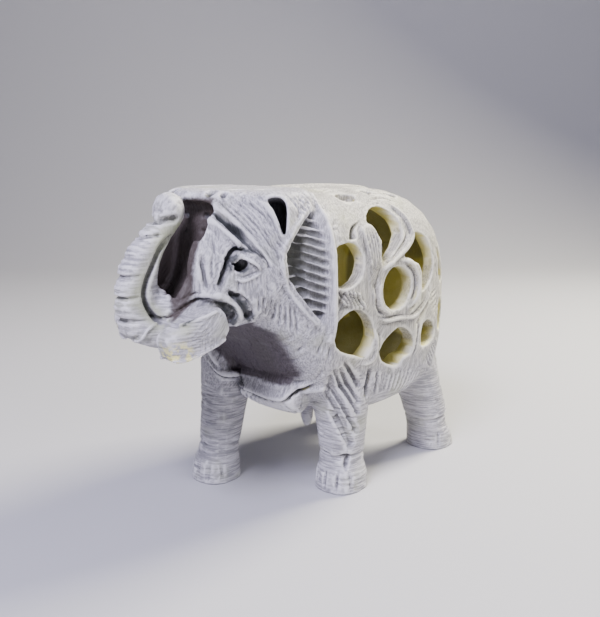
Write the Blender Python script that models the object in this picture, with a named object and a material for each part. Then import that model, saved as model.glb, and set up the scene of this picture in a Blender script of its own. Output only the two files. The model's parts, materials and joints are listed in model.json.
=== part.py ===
"""A small soapstone elephant with a raised trunk and a hollow, pierced body, carved from one block.

Metres, +Z up. The elephant faces -X and its left flank faces -Y. The origin is on the
ground under the middle of the figure. Pose and carving are shares of the figure's height:
they are written in sixtieths of it, which are millimetres on the 60 mm figure.
"""

import math

import bmesh
import bpy
from mathutils import Matrix, Vector
from mathutils.bvhtree import BVHTree
from mathutils.kdtree import KDTree

# Driving sizes, in metres
HEIGHT = 0.060
WALL = 0.0027
FLOOR = 0.0058
EYE_DIAMETER = 0.0026
EYE_DEPTH = 0.0024
NECK_SLOT_DEPTH = 0.0062
TRUNK_GROOVE_WIDTH = 0.0012

# One sixtieth of the height, the unit of the pose and the carving
UNIT = HEIGHT / 60

# Mesh density, in sixtieths of the height, and the triangles of the outside before it is pierced
VOXEL = 0.36
ROUNDING_STEPS = 9
OUTSIDE_TRIANGLES = 5900
RING_SIDES = 28
HOLLOW_SIDES = 24
SMALL_WINDOW_SIDES = 12
STATIONS_BETWEEN = 5
HOLLOW_STATIONS_BETWEEN = 2
POINTS_BETWEEN_CORNERS = 24
SHARP_DEGREES = 40

# Edges shorter than this, in metres, are left over from a cut and are merged
MERGE = 0.000002

LEFT = -1
RIGHT = 1

STONE_COLOUR = (0.60, 0.59, 0.56, 1.0)
STONE_ROUGHNESS = 0.62

X_AXIS = Vector((1, 0, 0))
Y_AXIS = Vector((0, 1, 0))
Z_AXIS = Vector((0, 0, 1))

# Body, from neck to rump: x, half width, underside, back
BODY_STATIONS = (
    (-33.0, 12.5, 40.0, 58.6),
    (-28.0, 15.8, 34.5, 59.9),
    (-23.0, 17.8, 27.5, 60.0),
    (-17.0, 18.9, 20.0, 60.0),
    (-10.0, 19.3, 15.5, 60.0),
    (-2.0, 19.4, 13.6, 60.0),
    (6.0, 19.2, 13.2, 59.6),
    (13.0, 18.2, 13.8, 58.2),
    (19.0, 16.2, 15.2, 54.8),
    (23.8, 12.8, 17.6, 49.0),
    (27.0, 8.0, 21.5, 42.0),
    (28.4, 3.0, 27.0, 36.0),
)
BODY_SQUARENESS = 3.2

# The hollow runs from shoulder to rump, and its floor stays above the roots of the legs
HOLLOW_FRONT = -20.0
HOLLOW_REAR = 25.0
HOLLOW_LOWEST = 20.0

# Head, from jaw to crown: height, x and half width of the face, x and half width of the cheeks
HEAD_STATIONS = (
    (36.6, -37.0, 3.6, -31.0, 8.0),
    (38.4, -39.4, 4.8, -30.5, 11.6),
    (42.0, -41.4, 6.0, -29.6, 14.4),
    (46.0, -41.8, 6.4, -29.0, 15.6),
    (50.0, -41.2, 6.6, -28.6, 16.0),
    (54.0, -39.2, 6.8, -28.4, 15.9),
    (57.6, -37.6, 6.8, -28.2, 15.3),
    (59.8, -36.8, 6.4, -27.6, 14.0),
    (60.4, -35.4, 5.6, -27.0, 12.0),
)
HEAD_BACK = -18.0

# Corners of the head seen from above, from face to cheek: the share of the way between the two,
# how far behind that place, and how far outside it
HEAD_CORNERS = (
    (0.0, 0.5, 0.0),
    (0.0, 1.2, 0.9),
    (0.5, 0.0, 0.7),
    (1.0, -1.5, -0.4),
    (1.0, 2.0, 0.0),
)
FACE_FLAT_SHARE = 0.6
NECK_SHARE = 0.8

# Trunk, from the face to the tip: x, height, half thickness, half width
TRUNK_STATIONS = (
    (-33.0, 46.5, 6.5, 7.0),
    (-38.0, 43.4, 5.6, 6.8),
    (-42.4, 39.4, 4.6, 6.3),
    (-46.0, 37.2, 3.1, 5.4),
    (-48.4, 39.4, 3.5, 3.2),
    (-48.6, 43.6, 3.7, 2.6),
    (-47.8, 47.6, 3.4, 2.5),
    (-45.9, 51.0, 2.7, 2.4),
    (-43.4, 53.7, 2.3, 2.3),
    (-41.4, 55.8, 2.2, 2.2),
)
TRUNK_SQUARENESS = 2.8

# The folds on the trunk's outer face start ahead of the face, stay between the tusks, and fade out
# over a short way where its surface turns towards the face
TRUNK_FOLDS_FROM = -43.5
TRUNK_FOLDS_WITHIN = 5.5
TRUNK_LOBE_PITCH = 2.9
TRUNK_LOBE_HEIGHT = 0.9
TRUNK_FOLD_STEPS = 12
TRUNK_FADE = 2.0
TRUNK_INSIDE = Vector((0.8, 0, 0.3))

# Small rounded masses: centre and half sizes
KNOBS = {
    "trunk_tip": ((-41.2, 0, 57.0), (2.9, 2.8, 3.3)),
    "crest": ((-35.2, 0, 59.4), (3.4, 3.8, 1.3)),
    "belly_knob": ((-6.4, 0, 12.5), (1.5, 1.5, 3.6)),
}

# Each leg, from the thigh to the sole: height, x, y outwards, half length, half width
FRONT_LEFT_LEG = (
    (30.0, -11.0, 10.5, 7.2, 6.6),
    (22.0, -10.0, 11.6, 6.2, 5.8),
    (15.0, -8.9, 11.6, 5.0, 5.0),
    (9.0, -8.4, 11.4, 4.4, 4.4),
    (5.8, -8.3, 11.3, 4.2, 4.3),
    (3.4, -8.4, 11.4, 4.9, 4.9),
    (-2.0, -8.5, 11.4, 5.2, 5.1),
)
FRONT_RIGHT_LEG = (
    (32.0, -17.0, 9.5, 7.2, 6.6),
    (25.0, -18.6, 10.6, 5.8, 5.6),
    (17.0, -19.8, 11.0, 4.7, 4.8),
    (10.0, -21.2, 10.8, 4.2, 4.2),
    (5.8, -22.1, 10.7, 4.0, 4.1),
    (3.4, -22.6, 10.8, 4.7, 4.7),
    (-2.0, -22.8, 10.8, 5.0, 4.9),
)
REAR_LEFT_LEG = (
    (30.0, 13.0, 8.5, 6.0, 5.0),
    (23.0, 16.0, 10.2, 5.8, 5.4),
    (16.5, 17.8, 11.2, 5.0, 5.0),
    (12.0, 20.0, 11.4, 4.7, 4.8),
    (8.6, 21.4, 11.4, 4.7, 4.7),
    (5.6, 21.9, 11.4, 4.2, 4.3),
    (3.0, 23.2, 11.4, 4.9, 4.8),
    (-2.0, 24.2, 11.4, 5.5, 5.2),
)
REAR_RIGHT_LEG = (
    (30.0, 12.5, 8.5, 6.0, 5.0),
    (23.0, 15.0, 10.2, 5.8, 5.4),
    (16.5, 16.4, 11.2, 5.0, 5.0),
    (12.0, 17.6, 11.4, 4.7, 4.8),
    (8.6, 18.4, 11.4, 4.6, 4.7),
    (5.6, 18.6, 11.4, 4.2, 4.3),
    (3.0, 19.4, 11.4, 4.9, 4.8),
    (-2.0, 20.0, 11.4, 5.4, 5.2),
)
LEG_SQUARENESS = 2.4

# Tusk, from the lip to the blunt tip: x, y outwards, height, half depth, half thickness
TUSK_STATIONS = (
    (-38.2, 9.3, 39.3, 2.2, 2.2),
    (-39.8, 9.4, 38.8, 3.0, 2.7),
    (-42.2, 9.0, 37.9, 3.2, 2.8),
    (-45.4, 8.3, 36.5, 3.2, 2.7),
    (-47.6, 7.9, 35.7, 2.9, 2.5),
    (-49.0, 7.6, 35.6, 2.1, 2.0),
)
TUSK_SQUARENESS = 4.0

# The right tusk is cut shorter: the share of the left one's length
RIGHT_TUSK_LENGTH = 0.75

# Windows through each flank, as seen from the side: rounded outlines of x and height
FLANK_WINDOWS = {
    "front_round": ((-19.0, 49.2), (-16.6, 50.6), (-13.4, 50.5), (-11.4, 48.0), (-12.0, 44.6),
                    (-14.8, 42.8), (-18.9, 43.2)),
    "crescent": ((-8.2, 54.0), (-5.8, 55.8), (-2.6, 56.4), (0.6, 55.2), (1.9, 52.4), (0.9, 49.8),
                 (-1.8, 47.6), (-5.9, 45.4), (-5.8, 48.4), (-5.4, 50.4), (-6.8, 52.2)),
    "leaf": ((6.2, 50.9), (9.0, 50.5), (11.5, 48.2), (12.8, 45.2), (12.2, 42.2), (10.0, 40.0),
             (7.2, 39.0), (7.2, 42.2), (5.6, 44.8), (1.2, 46.9), (3.4, 49.0)),
    "middle_oval": ((-5.0, 43.6), (-2.8, 45.0), (0.4, 44.8), (3.2, 42.6), (3.2, 39.6), (1.0, 37.2),
                    (-2.4, 36.6), (-5.3, 38.2), (-5.9, 41.2)),
    "lower_front": ((-19.0, 36.0), (-15.8, 38.2), (-12.4, 38.1), (-9.3, 35.6), (-8.3, 32.2),
                    (-10.2, 28.7), (-13.2, 29.5), (-17.2, 31.0), (-18.9, 33.4)),
    "lower_middle": ((-0.6, 32.9), (2.8, 31.8), (5.2, 29.2), (4.4, 26.7), (1.7, 26.4), (0.9, 24.9),
                     (-1.6, 25.2), (-5.5, 27.0), (-6.4, 29.4), (-4.4, 31.4)),
    "lower_rear": ((8.5, 32.1), (11.9, 32.3), (14.6, 30.2), (13.6, 27.9), (11.2, 27.0), (8.1, 27.6)),
    "high_rear": ((16.2, 47.2), (18.4, 45.6), (19.6, 42.2), (18.4, 39.4), (16.4, 40.6), (15.8, 44.0)),
    "low_rear": ((16.8, 36.2), (19.6, 35.0), (20.8, 31.8), (19.4, 28.8), (16.9, 29.6), (16.4, 33.0)),
}
FLANK_CUT_FROM = 7.5
FLANK_CUT_TO = 24.0

# Windows through the back, as seen from above, either side: x, y outwards, half length, half width
BACK_WINDOWS = (
    (-8.6, 11.6, 2.6, 1.5),
    (0.2, 9.6, 1.5, 1.0),
    (6.6, 10.6, 1.9, 1.2),
)
BACK_CUT_FROM = 50.0
BACK_CUT_TO = 66.0

# Windows through the rump, either side of the tail: y outwards, height, half width, half height
RUMP_WINDOWS = (
    (5.6, 36.6, 1.9, 3.0),
    (5.4, 29.0, 1.7, 2.4),
)
RUMP_CUT_FROM = 19.0
RUMP_CUT_TO = 34.0

# Lines cut into both sides, as seen from the side: depth, half width, points of x and height
SIDE_LINES = (
    (1.1, 0.8, ((-37.6, 57.2), (-36.4, 55.5), (-34.8, 52.4), (-33.6, 50.4), (-32.0, 47.7))),
    (1.1, 0.75, ((-34.8, 50.4), (-35.7, 51.0), (-36.6, 50.0), (-37.3, 47.9), (-38.1, 45.0))),
    (1.0, 0.7, ((-36.6, 42.9), (-34.9, 41.0), (-33.2, 38.6))),
    (0.5, 0.5, ((-40.2, 49.6), (-40.2, 47.4), (-39.9, 44.9))),
    (0.8, 0.8, ((-8.6, 25.6), (-7.9, 20.4))),
    (0.4, 0.5, ((-6.1, 24.8), (-4.6, 20.0))),
    (0.4, 0.5, ((-4.1, 24.3), (-2.4, 19.6))),
)
SIDE_RIDGES = (
    (0.5, 0.8, ((-38.0, 55.8), (-36.8, 53.6), (-35.2, 51.2), (-33.2, 48.2))),
    (0.9, 1.1, ((-40.2, 43.5), (-38.4, 43.1), (-36.6, 41.6), (-35.0, 39.4), (-34.4, 38.0))),
    (0.7, 0.9, ((-19.6, 59.0), (-20.0, 54.0), (-20.1, 44.0), (-19.8, 33.6))),
    (0.5, 0.9, ((4.2, 45.6), (6.0, 43.4), (6.1, 40.6), (4.2, 37.6))),
)
LEG_LINES = (
    ((-15.5, 28.3), (-10.7, 22.9)),
    ((-16.1, 27.2), (-10.2, 19.5)),
    ((-17.2, 27.0), (-10.0, 17.1)),
    ((-17.6, 25.8), (-9.7, 13.0)),
    ((-16.8, 23.6), (-10.2, 10.4)),
    ((-14.4, 17.6), (-10.8, 10.2)),
)
LEG_LINE_DEPTH = 0.8
LEG_LINE_HALF_WIDTH = 0.62

# The right front leg has stepped ahead of the left one. Its lines are the rear part of the left one's
RIGHT_LEG_AHEAD = -8.0
RIGHT_LEG_LINE_START = 0.45

# The rim across the chest, as seen from the front: y and height
CHEST_RIM = ((10.0, 27.5), (5.5, 22.8), (0.5, 20.8), (-5.0, 21.0), (-9.0, 21.9), (-14.0, 23.2))
CHEST_RIM_HEIGHT = 0.8
CHEST_RIM_HALF_WIDTH = 1.0

# The tail, cut in relief on the rump, as seen from behind: y and height
TAIL = ((0.0, 46.0), (0.4, 38.0), (0.2, 30.0), (-0.6, 22.0), (-0.4, 18.5))
TAIL_HEIGHT = 1.1
TAIL_HALF_WIDTH = 1.5

# The throat under the jaw, as seen from the side
THROAT = (
    (-40.0, 37.0), (-31.5, 36.4), (-27.0, 33.6), (-23.8, 29.6), (-21.8, 25.6), (-20.6, 21.6),
    (-24.0, 16.0), (-40.0, 16.0),
)
THROAT_REACH = 13.0

# The space between trunk and face, wider under the crest: reach either side of the middle, outline
FACE_POCKETS = (
    (4.6, ((-38.5, 57.9), (-38.8, 56.2), (-39.8, 54.2), (-41.4, 51.9), (-43.4, 48.6), (-44.1, 46.2),
           (-44.2, 43.0), (-45.1, 40.2), (-46.0, 37.9), (-44.9, 37.3), (-42.8, 39.2), (-40.6, 41.4),
           (-38.0, 44.6), (-36.9, 48.0), (-36.3, 51.0), (-35.6, 54.4), (-35.2, 57.2), (-36.4, 58.4))),
    (6.4, ((-38.5, 57.9), (-38.8, 56.2), (-40.2, 53.6), (-39.6, 52.2), (-37.6, 52.2), (-36.2, 54.4),
           (-35.6, 57.0), (-36.6, 58.3))),
)

# The front edge of each ear, from top to bottom: x and height. It is a leaf scooped out of the side
EAR_FRONT_EDGE = (
    (-21.6, 56.6), (-25.1, 54.5), (-28.2, 51.2), (-28.8, 48.8), (-28.0, 45.6), (-26.5, 43.0),
    (-23.8, 39.5), (-21.4, 37.0),
)
EAR_REAR = -20.6
EAR_DEPTH = 1.7
EAR_RIB_PITCH = 1.6
EAR_RIB_SLOPE = 0.36
EAR_RIB_HEIGHT = 0.5
EAR_EDGE_STEEPNESS = 8.0

# Only stone this far from the middle that faces sideways belongs to an ear
EAR_OUTSIDE = 10.0
EAR_FACING = 0.3

# The drilled eye: x, y outwards and height, on a cheek that slants back from the face
EYE = (-35.5, 11.6, 48.3)
EYE_CLEAR = 4.0
CHEEK_SLANT_DEGREES = 36

# The narrow slot behind each side of the head: its outline on the side of the neck, how far out
# that is, and how much further back and lower it lies for each step inwards
NECK_SLOT = (
    (-32.8, 59.5), (-30.4, 59.7), (-28.7, 59.0), (-27.9, 57.6), (-27.9, 54.8), (-28.4, 52.6),
    (-29.6, 54.8), (-31.2, 57.6),
)
NECK_SLOT_OUTSIDE = 15.0
NECK_SLOT_TO = 24.0
NECK_SLOT_BACKWARDS = 1.05
NECK_SLOT_FALL = 0.3

# The curved groove inside the trunk, as seen from the side: points of x and height
TRUNK_GROOVE = ((-41.8, 53.0), (-44.6, 51.2), (-46.4, 48.6), (-47.9, 46.0), (-48.5, 43.4), (-47.6, 40.8),
                (-46.4, 38.9))
TRUNK_WEB_HALF_WIDTH = 1.1
TRUNK_GROOVE_TO = 9.0

# How far from the middle a look at the stone starts, from each side
SIGHT_FROM_SIDE = 60.0
SIGHT_FROM_FRONT = 90.0
SIGHT_FROM_REAR = 70.0


def clear_scene():
    for obj in list(bpy.data.objects):
        bpy.data.objects.remove(obj, do_unlink=True)


def new_object(name, shape):
    """A bmesh in sixtieths of the height made an object in metres."""
    bmesh.ops.recalc_face_normals(shape, faces=shape.faces)
    bmesh.ops.scale(shape, vec=(UNIT, UNIT, UNIT), verts=shape.verts)
    mesh = bpy.data.meshes.new(name)
    shape.to_mesh(mesh)
    shape.free()
    obj = bpy.data.objects.new(name, mesh)
    bpy.context.scene.collection.objects.link(obj)
    return obj


def eased(stations, between=STATIONS_BETWEEN):
    """Rows of numbers with more rows between them, along a smooth curve through all of them."""
    rows = [stations[0], *stations, stations[-1]]
    found = []
    for before, a, b, after in zip(rows, rows[1:], rows[2:], rows[3:]):
        found += [curve_point(before, a, b, after, step / between) for step in range(between)]
    found.append(list(stations[-1]))
    return found


def curve_point(before, a, b, after, t):
    """A point between a and b on the smooth curve through four rows."""
    return [
        (2 * q + (r - p) * t + (2 * p - 5 * q + 4 * r - s) * t**2 + (3 * q - p - 3 * r + s) * t**3) / 2
        for p, q, r, s in zip(before, a, b, after)
    ]


def rounded_outline(corners, between=2):
    """A closed outline through the corners, with smooth points between them."""
    count = len(corners)
    return [
        curve_point(*(corners[(i + k) % count] for k in (-1, 0, 1, 2)), step / between)
        for i in range(count)
        for step in range(between)
    ]


def oval(centre, across, up, half_across, half_up, squareness, sides=RING_SIDES):
    """Points round a superellipse."""
    points = []
    for step in range(sides):
        angle = 2 * math.pi * step / sides
        c, s = math.cos(angle), math.sin(angle)
        points.append(
            centre
            + across * half_across * math.copysign(abs(c) ** (2 / squareness), c)
            + up * half_up * math.copysign(abs(s) ** (2 / squareness), s)
        )
    return points


def loft(name, rings):
    """A closed skin over rings of equally many points."""
    shape = bmesh.new()
    made = [[shape.verts.new(point) for point in ring] for ring in rings]
    for low, high in zip(made, made[1:]):
        for i in range(len(low)):
            j = (i + 1) % len(low)
            shape.faces.new((low[i], low[j], high[j], high[i]))
    shape.faces.new(made[0])
    shape.faces.new(made[-1])
    return new_object(name, shape)


def body():
    rings = [
        oval(
            Vector((x, 0, (underside + back) / 2)),
            Y_AXIS,
            Z_AXIS,
            half_width,
            (back - underside) / 2,
            BODY_SQUARENESS,
        )
        for x, half_width, underside, back in eased(BODY_STATIONS)
    ]
    return loft("body", rings)


def hollow():
    """The space inside the body, a wall's thickness inside its skin and a floor's above its belly."""
    wall, floor = WALL / UNIT, FLOOR / UNIT
    rings = []
    for x, half_width, underside, back in eased(BODY_STATIONS, HOLLOW_STATIONS_BETWEEN):
        if not HOLLOW_FRONT <= x <= HOLLOW_REAR:
            continue
        low, high = max(underside + floor, HOLLOW_LOWEST), back - wall
        middle = Vector((x, 0, (low + high) / 2))
        half_height = (high - low) / 2
        rings.append(
            oval(middle, Y_AXIS, Z_AXIS, half_width - wall, half_height, BODY_SQUARENESS, HOLLOW_SIDES)
        )
    return loft("hollow", rings)


def head():
    """A wedge seen from above: flat cheeks that spread from a narrow face."""
    rings = []
    for z, face, half_face, cheek, half_width in eased(HEAD_STATIONS):
        half = [(face, half_face * FACE_FLAT_SHARE)]
        for share, behind, outside in HEAD_CORNERS:
            x = face + (cheek - face) * share + behind
            y = half_face + (half_width - half_face) * share + outside
            half.append((x, y))
        half.append((HEAD_BACK, half_width * NECK_SHARE))
        corners = [(x, -y) for x, y in half] + [(x, y) for x, y in half[::-1]]
        rings.append([Vector((x, y, z)) for x, y in rounded_outline(corners)])
    return loft("head", rings)


def leg(stations, side):
    rings = [
        oval(Vector((x, side * y, z)), X_AXIS, Y_AXIS, half_length, half_width, LEG_SQUARENESS)
        for z, x, y, half_length, half_width in eased(stations)
    ]
    return loft("leg", rings)


def trunk():
    rows = eased(TRUNK_STATIONS)
    rings = []
    for i, (x, z, half_thickness, half_width) in enumerate(rows):
        before, after = rows[max(i - 1, 0)], rows[min(i + 1, len(rows) - 1)]
        along = Vector((after[0] - before[0], 0, after[1] - before[1])).normalized()
        rings.append(
            oval(
                Vector((x, 0, z)), along.cross(Y_AXIS), Y_AXIS, half_thickness, half_width, TRUNK_SQUARENESS
            )
        )
    return loft("trunk", rings)


def tusk(side):
    length = 1.0 if side == LEFT else RIGHT_TUSK_LENGTH
    rows = eased(TUSK_STATIONS)
    root = Vector((rows[0][0], side * rows[0][1], rows[0][2]))
    along = Vector((rows[-1][0] - root.x, 0, rows[-1][2] - root.z)).normalized()
    rings = []
    for x, y, z, half_depth, half_thick in rows:
        place = root.lerp(Vector((x, side * y, z)), length)
        rings.append(oval(place, along.cross(Y_AXIS), Y_AXIS, half_depth, half_thick, TUSK_SQUARENESS))
    return loft("tusk", rings)


def knob(name, centre, half_sizes):
    """An ellipsoid."""
    shape = bmesh.new()
    bmesh.ops.create_uvsphere(shape, u_segments=24, v_segments=16, radius=1.0)
    shape.transform(Matrix.Translation(centre) @ Matrix.Diagonal((*half_sizes, 1)))
    return new_object(name, shape)


def prism(name, outline, axis, start, end):
    """An outline of two coordinates pushed along the third, between two places on it."""
    rings = []
    for place in (start, end):
        ring = []
        for a, b in outline:
            point = [a, b]
            point.insert(axis, place)
            ring.append(Vector(point))
        rings.append(ring)
    return loft(name, rings)


def ribbon(path, half_width):
    """The outline of a band that follows a path."""
    rows = eased(path, 3)
    outer, inner = [], []
    for i, (a, b) in enumerate(rows):
        before, after = rows[max(i - 1, 0)], rows[min(i + 1, len(rows) - 1)]
        along = Vector((after[0] - before[0], after[1] - before[1])).normalized()
        outer.append((a - along.y * half_width, b + along.x * half_width))
        inner.append((a + along.y * half_width, b - along.x * half_width))
    return outer + inner[::-1]


def settle(obj, kind, **settings):
    """Gives the object a modifier and keeps the mesh that comes out of it."""
    modifier = obj.modifiers.new(kind.lower(), kind)
    for key, value in settings.items():
        setattr(modifier, key, value)
    bpy.context.view_layer.update()
    graph = bpy.context.evaluated_depsgraph_get()
    mesh = bpy.data.meshes.new_from_object(obj.evaluated_get(graph))
    obj.modifiers.clear()
    obj.data = mesh
    return obj


def join(name, pieces):
    shape = bmesh.new()
    for piece in pieces:
        shape.from_mesh(piece.data)
        bpy.data.objects.remove(piece, do_unlink=True)
    mesh = bpy.data.meshes.new(name)
    shape.to_mesh(mesh)
    shape.free()
    obj = bpy.data.objects.new(name, mesh)
    bpy.context.scene.collection.objects.link(obj)
    return obj


def subtract(obj, cutter):
    settle(obj, "BOOLEAN", object=cutter, operation="DIFFERENCE", solver="EXACT")
    bpy.data.objects.remove(cutter, do_unlink=True)


def soften(obj):
    """One closed skin over all that touches, with its corners rounded by hand rubbing."""
    settle(obj, "REMESH", mode="VOXEL", voxel_size=VOXEL * UNIT)
    settle(obj, "SMOOTH", factor=0.5, iterations=ROUNDING_STEPS)


def masses():
    """The main forms, overlapping. The throat is cut from the body before the rest meets it."""
    barrel = body()
    subtract(barrel, prism("throat", rounded_outline(THROAT), 1, -THROAT_REACH, THROAT_REACH))
    return [
        barrel,
        head(),
        trunk(),
        leg(FRONT_LEFT_LEG, LEFT),
        leg(FRONT_RIGHT_LEG, RIGHT),
        leg(REAR_LEFT_LEG, LEFT),
        leg(REAR_RIGHT_LEG, RIGHT),
        tusk(LEFT),
        tusk(RIGHT),
        *(knob(name, centre, half_sizes) for name, (centre, half_sizes) in KNOBS.items()),
    ]


def neck_slot(side):
    """Cut in from ahead of the ear, so that it runs back and down towards the middle of the neck."""
    outline = rounded_outline(NECK_SLOT)
    rings = []
    for y in (NECK_SLOT_TO, NECK_SLOT_OUTSIDE - NECK_SLOT_DEPTH / UNIT):
        inwards = NECK_SLOT_OUTSIDE - y
        back, down = inwards * NECK_SLOT_BACKWARDS, inwards * NECK_SLOT_FALL
        rings.append([Vector((x + back, side * y, z - down)) for x, z in outline])
    return loft("slot", rings)


def cut_slots(block):
    """The slots behind the head and the grooves either side of the trunk's web."""
    band = ribbon(TRUNK_GROOVE, TRUNK_GROOVE_WIDTH / UNIT / 2)
    for side in (LEFT, RIGHT):
        subtract(block, neck_slot(side))
        subtract(block, prism("groove", band, 1, side * TRUNK_WEB_HALF_WIDTH, side * TRUNK_GROOVE_TO))


def look(view, a, b):
    """Where a look at the stone from one side starts, and its direction."""
    views = {
        "left": ((a, -SIGHT_FROM_SIDE, b), (0, 1, 0)),
        "right": ((a, SIGHT_FROM_SIDE, b), (0, -1, 0)),
        "front": ((-SIGHT_FROM_FRONT, a, b), (1, 0, 0)),
        "rear": ((SIGHT_FROM_REAR, a, b), (-1, 0, 0)),
    }
    return [Vector(part) for part in views[view]]


def drawn(stone, view, path):
    """Points close together along a line drawn on the stone as seen from one side."""
    points = []
    for a, b in eased(path, POINTS_BETWEEN_CORNERS):
        hit = stone.ray_cast(*look(view, a, b))[0]
        if hit is not None:
            points.append(hit)
    return points


def carve_lines(block, lines):
    """Lowers the stone along drawn lines: view, path, half width and depth. Below zero raises it."""
    mesh = block.data
    places = [vertex.co / UNIT for vertex in mesh.vertices]
    normals = [vertex.normal.copy() for vertex in mesh.vertices]
    stone = BVHTree.FromPolygons(places, [face.vertices[:] for face in mesh.polygons])
    near = KDTree(len(places))
    for i, place in enumerate(places):
        near.insert(place, i)
    near.balance()
    cut = [0.0] * len(places)
    for view, path, half_width, depth in lines:
        reached = {}
        for point in drawn(stone, view, path):
            for _, i, distance in near.find_range(point, half_width):
                share = 1 - (distance / half_width) ** 2
                reached[i] = max(reached.get(i, 0.0), share)
        for i, share in reached.items():
            cut[i] += share * depth
    for vertex, normal, depth in zip(mesh.vertices, normals, cut):
        vertex.co -= normal * depth * UNIT


def right_leg_line(path):
    """The rear part of a straight line on the left leg, where the right leg has it."""
    (a, b), (last_a, last_b) = path
    a, b = a + (last_a - a) * RIGHT_LEG_LINE_START, b + (last_b - b) * RIGHT_LEG_LINE_START
    return ((a + RIGHT_LEG_AHEAD, b), (last_a + RIGHT_LEG_AHEAD, last_b))


def all_lines():
    lines = []
    for view in ("left", "right"):
        lines += [(view, path, half_width, depth) for depth, half_width, path in SIDE_LINES]
        lines += [(view, path, half_width, -height) for height, half_width, path in SIDE_RIDGES]
    for path in LEG_LINES:
        lines.append(("left", path, LEG_LINE_HALF_WIDTH, LEG_LINE_DEPTH))
        lines.append(("right", right_leg_line(path), LEG_LINE_HALF_WIDTH, LEG_LINE_DEPTH))
    lines.append(("front", CHEST_RIM, CHEST_RIM_HALF_WIDTH, -CHEST_RIM_HEIGHT))
    lines.append(("rear", TAIL, TAIL_HALF_WIDTH, -TAIL_HEIGHT))
    return lines


def ear_front(height):
    """Where the front edge of the ear is at a height, or nothing above and below it."""
    for (x, z), (next_x, next_z) in zip(EAR_FRONT_EDGE, EAR_FRONT_EDGE[1:]):
        if next_z <= height <= z:
            return x + (next_x - x) * (z - height) / (z - next_z)
    return None


def ear_depth(x, z):
    """How deep the ear is scooped: most along its front edge, with slanting ribs left standing."""
    front = ear_front(z)
    if front is None or not front < x < EAR_REAR:
        return 0.0
    across = (x - front) / (EAR_REAR - front)
    scoop = EAR_DEPTH * (1 - across) * min(1.0, across * EAR_EDGE_STEEPNESS)
    phase = (z + x * EAR_RIB_SLOPE) / EAR_RIB_PITCH % 1
    rib = EAR_RIB_HEIGHT * max(0.0, 1 - abs(phase - 0.5) * 4)
    return scoop - rib * min(1.0, 4 * across * (1 - across))


def scoop_ears(block):
    mesh = block.data
    normals = [vertex.normal.copy() for vertex in mesh.vertices]
    for vertex, normal in zip(mesh.vertices, normals):
        x, y, z = vertex.co / UNIT
        if abs(normal.y) > EAR_FACING and y * normal.y > 0 and abs(y) > EAR_OUTSIDE:
            vertex.co -= normal * ear_depth(x, z) * UNIT


def fold_trunk(block):
    """Rounded lobes across the outer face of the trunk, one after another along its middle line."""
    rows = eased(TRUNK_STATIONS, TRUNK_FOLD_STEPS)
    middle = KDTree(len(rows))
    travelled = [0.0]
    for i, row in enumerate(rows):
        middle.insert((row[0], 0, row[1]), i)
        if i:
            travelled.append(travelled[-1] + math.dist(row[:2], rows[i - 1][:2]))
    middle.balance()
    mesh = block.data
    normals = [vertex.normal.copy() for vertex in mesh.vertices]
    for vertex, normal in zip(mesh.vertices, normals):
        place = vertex.co / UNIT
        if place.x > TRUNK_FOLDS_FROM or abs(place.y) > TRUNK_FOLDS_WITHIN:
            continue
        near, i, _ = middle.find((place.x, 0, place.z))
        outwards = max(0.0, normal.dot(Vector((place.x - near.x, 0, place.z - near.z)).normalized()))
        facing = min(1.0, max(0.0, TRUNK_INSIDE.dot(near - place) / TRUNK_FADE))
        lobe = abs(math.sin(math.pi * travelled[i] / TRUNK_LOBE_PITCH))
        vertex.co += normal * (math.sqrt(lobe) - 1) * TRUNK_LOBE_HEIGHT * outwards * facing * UNIT


def thin_out(block, triangles):
    count = sum(len(face.vertices) - 2 for face in block.data.polygons)
    settle(block, "DECIMATE", ratio=triangles / count, use_collapse_triangulate=True)


def stand_flat(block):
    """Cuts the feet off flat at the ground."""
    shape = bmesh.new()
    shape.from_mesh(block.data)
    everything = shape.verts[:] + shape.edges[:] + shape.faces[:]
    bmesh.ops.bisect_plane(shape, geom=everything, plane_co=(0, 0, 0), plane_no=Z_AXIS, clear_inner=True)
    bmesh.ops.holes_fill(shape, edges=[edge for edge in shape.edges if edge.is_boundary], sides=0)
    bmesh.ops.triangulate(shape, faces=[face for face in shape.faces if len(face.verts) > 3])
    shape.to_mesh(block.data)
    shape.free()


def pierce(block):
    """The hollow, and the windows that open it on both flanks, the back and the rump."""
    subtract(block, hollow())
    for side in (LEFT, RIGHT):
        for name, corners in FLANK_WINDOWS.items():
            outline = rounded_outline(corners)
            subtract(block, prism(name, outline, 1, side * FLANK_CUT_FROM, side * FLANK_CUT_TO))
        for x, y, half_length, half_width in BACK_WINDOWS:
            subtract(block, back_window(Vector((x, side * y, 0)), half_length, half_width))
        for y, z, half_width, half_height in RUMP_WINDOWS:
            subtract(block, rump_window(Vector((0, side * y, z)), half_width, half_height))
        subtract(block, eye_hole(side))


def back_window(centre, half_length, half_width):
    rings = [
        oval(centre + Z_AXIS * z, X_AXIS, Y_AXIS, half_length, half_width, 2, SMALL_WINDOW_SIDES)
        for z in (BACK_CUT_FROM, BACK_CUT_TO)
    ]
    return loft("back_window", rings)


def rump_window(centre, half_width, half_height):
    rings = [
        oval(centre + X_AXIS * x, Y_AXIS, Z_AXIS, half_width, half_height, 2, SMALL_WINDOW_SIDES)
        for x in (RUMP_CUT_FROM, RUMP_CUT_TO)
    ]
    return loft("rump_window", rings)


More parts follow.
